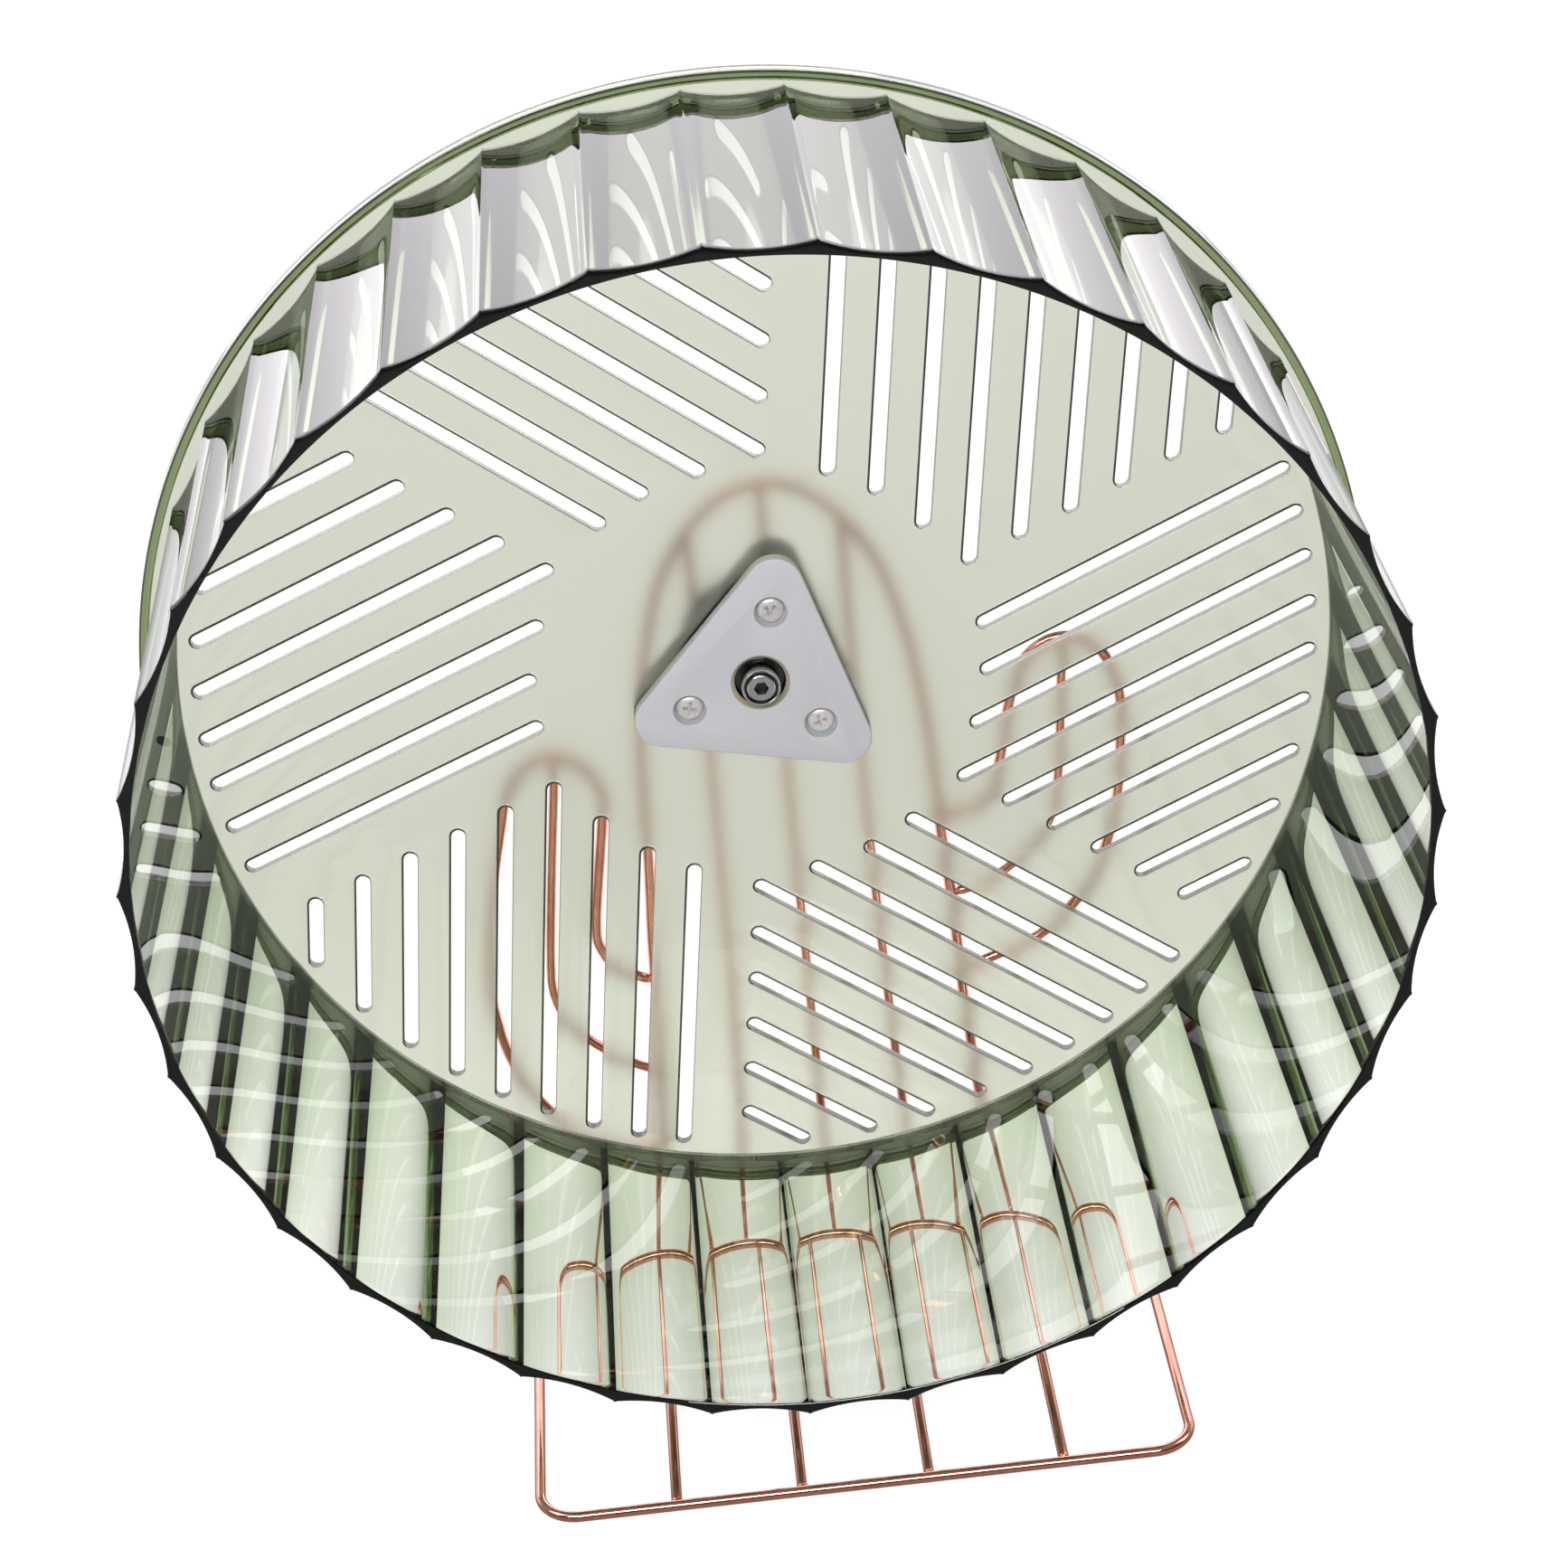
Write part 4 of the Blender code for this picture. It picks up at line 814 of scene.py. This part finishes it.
for edge, levels in sides.items():
    a, b = edge
    if edge <= outside and len(levels) == 1:
        continue
    one, two = levels if len(levels) == 2 else (levels[0], None)
    if one == two or (one is None and two is None):
        continue
    spans = [one or two] if one is None or two is None else [(one[0], two[0]), (one[1], two[1])]
    for low, high in spans:
        if low == high:
            continue
        if source[a] in lip_places and source[b] in lip_places:
            places = ((a, "front"), (b, "front"), (b, "lip"), (a, "lip"))
            soft = work.faces.new([corner_at(*place) for place in places])
            # Painted shade: a softened edge is painted black where widest, above and to the left of the slot, grey
            # where middling and pale where narrow.
            softened = (verts[a] - Vector(lip_places[source[a]])).length
            soft[painted_shade_tone] = edge_painted_black if softened > WIDE_EDGE else edge_painted_grey if softened > MIDDLE_EDGE else edge_painted_pale
            soft[frost] = 0.0 if softened > WIDE_EDGE else 0.6
            low, high = "lip", "back"
        wall = work.faces.new([corner_at(a, low), corner_at(b, low), corner_at(b, high), corner_at(a, high)])
        wall[frost] = 0.6 if low == "lip" else 1.0 if "block" in (low, high) and "back" in (low, high) else 0.0
rim_rings = {}
for k in outside:
    x, y = verts[k]
    away = Vector((x, y)).normalized()
    ring = [corner_at(k, "front")]
    ring += [work.verts.new(Vector((away.x * radius, back, away.y * radius)) * MM) for radius, back in rim_profile]
    rim_rings[k] = ring + [corner_at(k, "back")]
for edge, levels in sides.items():
    if edge <= outside and len(levels) == 1:
        one, two = (rim_rings[k] for k in edge)
        for step, (a, b, c, d) in enumerate(zip(one, two, two[1:], one[1:])):
            work.faces.new([a, b, c, d])[painted_shade_tone] = rim_painted_shade.get(step, clear)
for face in work.faces:
    if face[painted_shade_tone][3] == 0:
        face[painted_shade_tone] = clear
add_piece(
    "back_disc", finish_mesh("back_disc", work, DISC_EDGE), disc_plastic, "wheel",
    ["slotted_disc"],
)


# Running drum. Clear green plastic moulded with shallow hollows round the outside and a narrow raised
# ridge between each two. Its bore is smooth and a little wider at the open front. It is bonded to the
# disc, and its lip is softened by the mould.
drum_plastic = clear_plastic("clear_smoke_green", 0.015, 0.4, 18.0, 0.00004, (0.2, 0.36, 0.0), 195.0)
FLUTES = 39
FLUTE_TURN = math.radians(-0.65)
FLUTE_DEPTH = 1.65
RIDGE_PINCH = 0.15
PINCH_START = 0.945
RIDGE_TIP = 0.03
# Painted shade: the faces round the lip and across its front are painted near black.
lip_painted_black = (0.03, 0.035, 0.035, 1)
LIP_ROWS = range(5, 12)
DRUM_FRONT, DRUM_BACK = -88.0, 4.5
CUSP_FRONT, CUSP_BACK = 125.2, 126.0
BORE_FRONT, BORE_BACK = 122.45, 121.3
across_flute = (-1, -0.988, -PINCH_START, -0.8, -0.6, -0.4, -0.2, 0, 0.2, 0.4, 0.6, 0.8, PINCH_START, 0.988)
rows = []
for share in (0.0, 0.02, 0.34, 0.66, 0.98):
    rows.append(("outer", DRUM_BACK + (DRUM_FRONT - DRUM_BACK) * share, 0.0))
rows += [("outer", -87.65, 0.0), ("outer", -87.85, 0.06), ("outer", -87.96, 0.18), ("outer", -88.0, 0.36)]
rows += [("inner", -88.0, 0.36), ("inner", -87.96, 0.18), ("inner", -87.85, 0.06), ("inner", -87.65, 0.0)]
for share in (0.98, 0.66, 0.34, 0.02, 0.0):
    rows.append(("inner", DRUM_BACK + (DRUM_FRONT - DRUM_BACK) * share, 0.0))


def hollow(cusp, share):
    """A point of the hollow between two ridges, as its distance out and across."""
    half_chord = cusp * math.sin(math.pi / FLUTES)
    sag = cusp * math.cos(math.pi / FLUTES) - (cusp - FLUTE_DEPTH)
    radius = (half_chord**2 + sag**2) / (2 * sag)
    swing = math.asin(half_chord / radius) * share
    out = cusp - FLUTE_DEPTH + radius * (1 - math.cos(swing))
    out += RIDGE_PINCH * max(0, (abs(share) - PINCH_START) / (1 - PINCH_START))
    if share == -1:
        out -= RIDGE_TIP
    return out, radius * math.sin(swing)


work = bmesh.new()
painted_shade_tone = work.faces.layers.float_color.new("painted_shade_tone")
drum_rings = []
for side, back, inset in rows:
    share = (back - DRUM_BACK) / (DRUM_FRONT - DRUM_BACK)
    ring = []
    for flute in range(FLUTES):
        middle = FLUTE_TURN + math.tau * (flute + 0.5) / FLUTES
        for swing in across_flute:
            out, aside = hollow(CUSP_BACK + (CUSP_FRONT - CUSP_BACK) * share, swing)
            if side == "outer":
                out -= inset
            else:
                angle = math.atan2(aside, out)
                bore = BORE_BACK + (BORE_FRONT - BORE_BACK) * share + inset
                out, aside = bore * math.cos(angle), bore * math.sin(angle)
            x = out * math.cos(middle) - aside * math.sin(middle)
            z = out * math.sin(middle) + aside * math.cos(middle)
            ring.append(work.verts.new(Vector((x, back, z)) * MM))
    drum_rings.append(ring)
for row, (one, two) in enumerate(zip(drum_rings, drum_rings[1:] + drum_rings[:1])):
    for k in range(len(one)):
        after = (k + 1) % len(one)
        work.faces.new([one[k], one[after], two[after], two[k]])[painted_shade_tone] = lip_painted_black if row in LIP_ROWS else clear
add_piece(
    "clear_drum", finish_mesh("clear_drum", work, DRUM_EDGE), drum_plastic, "wheel",
    ["running_drum"],
)


# Hub cover. A milky plastic triangle with soft corners that closes the bearing in, with a hole for the
# axle's screw and a sunk seat for each of its own three screws.
milky = cloudy_plastic(
    "milky_plastic", (120.0, 4.0), (0.6, 0.6, 0.635), (0.54, 0.54, 0.575), (0.28, 0.4), 0.25, 2 * MM,
)
tree = milky.node_tree
skin = add_node(tree, "ShaderNodeTexNoise", {"Scale": 2500.0, "Detail": 2.0}).outputs[0]
bump = add_node(tree, "ShaderNodeBump", {"Height": skin, "Strength": 0.2, "Distance": 0.00002})
tree.links.new(bump.outputs[0], tree.nodes["Principled BSDF"].inputs["Normal"])

COVER_TOP, COVER_FOOT = -3.1, -0.3
cover_layers = ((0.0, COVER_FOOT), (0.0, -2.75), (0.06, -2.92), (0.18, -3.04), (0.35, COVER_TOP))
work = bmesh.new()
cover_rings = []
for inset, back in cover_layers:
    outline = hub_outline(HUB_INRADIUS - inset, HUB_CORNER - inset, 16)
    cover_rings.append([work.verts.new(Vector((x, back, y)) * MM) for x, y in outline])
for one, two in zip(cover_rings, cover_rings[1:]):
    for k in range(len(one)):
        after = (k + 1) % len(one)
        work.faces.new([one[k], one[after], two[after], two[k]])
work.faces.new(cover_rings[0])
work.faces.new(cover_rings[-1])
cover = add_piece(
    "hub_cap", finish_mesh("hub_cap", work, COVER_EDGE), milky, "wheel", ["hub_cover"],
)
hole_profile = (
    (0, 1.0), (6.4, 1.0), (6.4, -1.3), (5.25, -1.3), (5.25, -1.9), (5.4, -2.1), (6.1, -2.95), (6.25, -3.08),
    (6.5, -3.12), (6.6, -4.0), (0, -4.0),
)
cut_away(cover, loose_piece("cap_hole", lathe("cap_hole", hole_profile)))
# The hole's sloped wall is a plain beige plastic.
beige_hole_wall = cloudy_plastic(
    "beige_hole_wall_plastic", (900.0, 3.0), (0.52, 0.46, 0.36), (0.4, 0.35, 0.27), (0.4, 0.6), 0.3, 1 * MM,
)
cover.data.materials.append(beige_hole_wall)
cover.data.materials.append(black_steel_and_painted_shade)
for face in cover.data.polygons:
    corners = [cover.data.vertices[k].co for k in face.vertices]
    reach = max(Vector((corner.x, corner.z - AXLE_HEIGHT)).length for corner in corners) / MM
    # Painted shade: the faces nearest the hole's middle take the black steel, as the shadow of the gap behind them; the
    # sloped wall beyond them is beige.
    face.material_index = 2 if reach < 5.45 else 1 if reach < 6.3 else 0
SCREW_CIRCLE = 16.1
screw_spots = []
for corner in range(3):
    angle = math.pi / 2 + HUB_TURN + corner * math.tau / 3
    screw_spots.append((SCREW_CIRCLE * math.cos(angle), SCREW_CIRCLE * math.sin(angle)))
seat_profile = (
    (0, 1.0), (1.6, 1.0), (1.6, -0.9), (3.3, -0.9), (3.45, -1.05), (3.45, -2.9), (3.55, -3.06), (3.75, -3.12),
    (3.8, -4.0), (0, -4.0),
)
for spot in screw_spots:
    cut_away(cover, loose_piece("cap_seat", lathe("cap_seat", seat_profile, 48, middle=spot)))


# Cover screws. Small self-tapping steel screws, bright plated, with a domed head and a cross recess.
zinc = streaked_metal("pale_zinc", 1800.0, (0.76, 0.73, 0.725), (0.56, 0.53, 0.53), (0.3, 0.45), metallic=0.35)
head_profile = (
    (0, -2.3), (1.0, -2.27), (1.9, -2.15), (2.5, -1.9), (2.85, -1.55), (3.0, -1.1), (2.95, -0.95), (1.3, -0.95),
    (1.3, 4.3), (0.7, 5.0), (0, 5.05),
)
CROSS_WIDE, CROSS_DEEP = Vector((3.7, 1.6, 0.85)), Vector((1.6, 1.6, 0.5))
CROSS_BACK = -1.85
for number, (spot, degrees) in enumerate(zip(screw_spots, (45, 102, 159)), 1):
    screw = add_piece(
        f"cap_screw_{number}", lathe(f"cap_screw_{number}", head_profile, 48, middle=spot), zinc, "wheel",
        [f"cover_screw_{number}"],
    )
    for turn in (0, 90):
        work = bmesh.new()
        bmesh.ops.create_cube(work, size=1)
        for vert in work.verts:
            vert.co = vert.co * (CROSS_WIDE if vert.co.y < 0 else CROSS_DEEP) * MM
        bmesh.ops.rotate(work, verts=work.verts, matrix=Matrix.Rotation(math.radians(degrees + turn), 3, "Y"))
        bmesh.ops.translate(work, verts=work.verts, vec=Vector((spot[0], CROSS_BACK, spot[1])) * MM)
        cut_away(screw, loose_piece("cross", finish_mesh("cross", work, CUT_EDGE)))


bpy.context.view_layer.update()
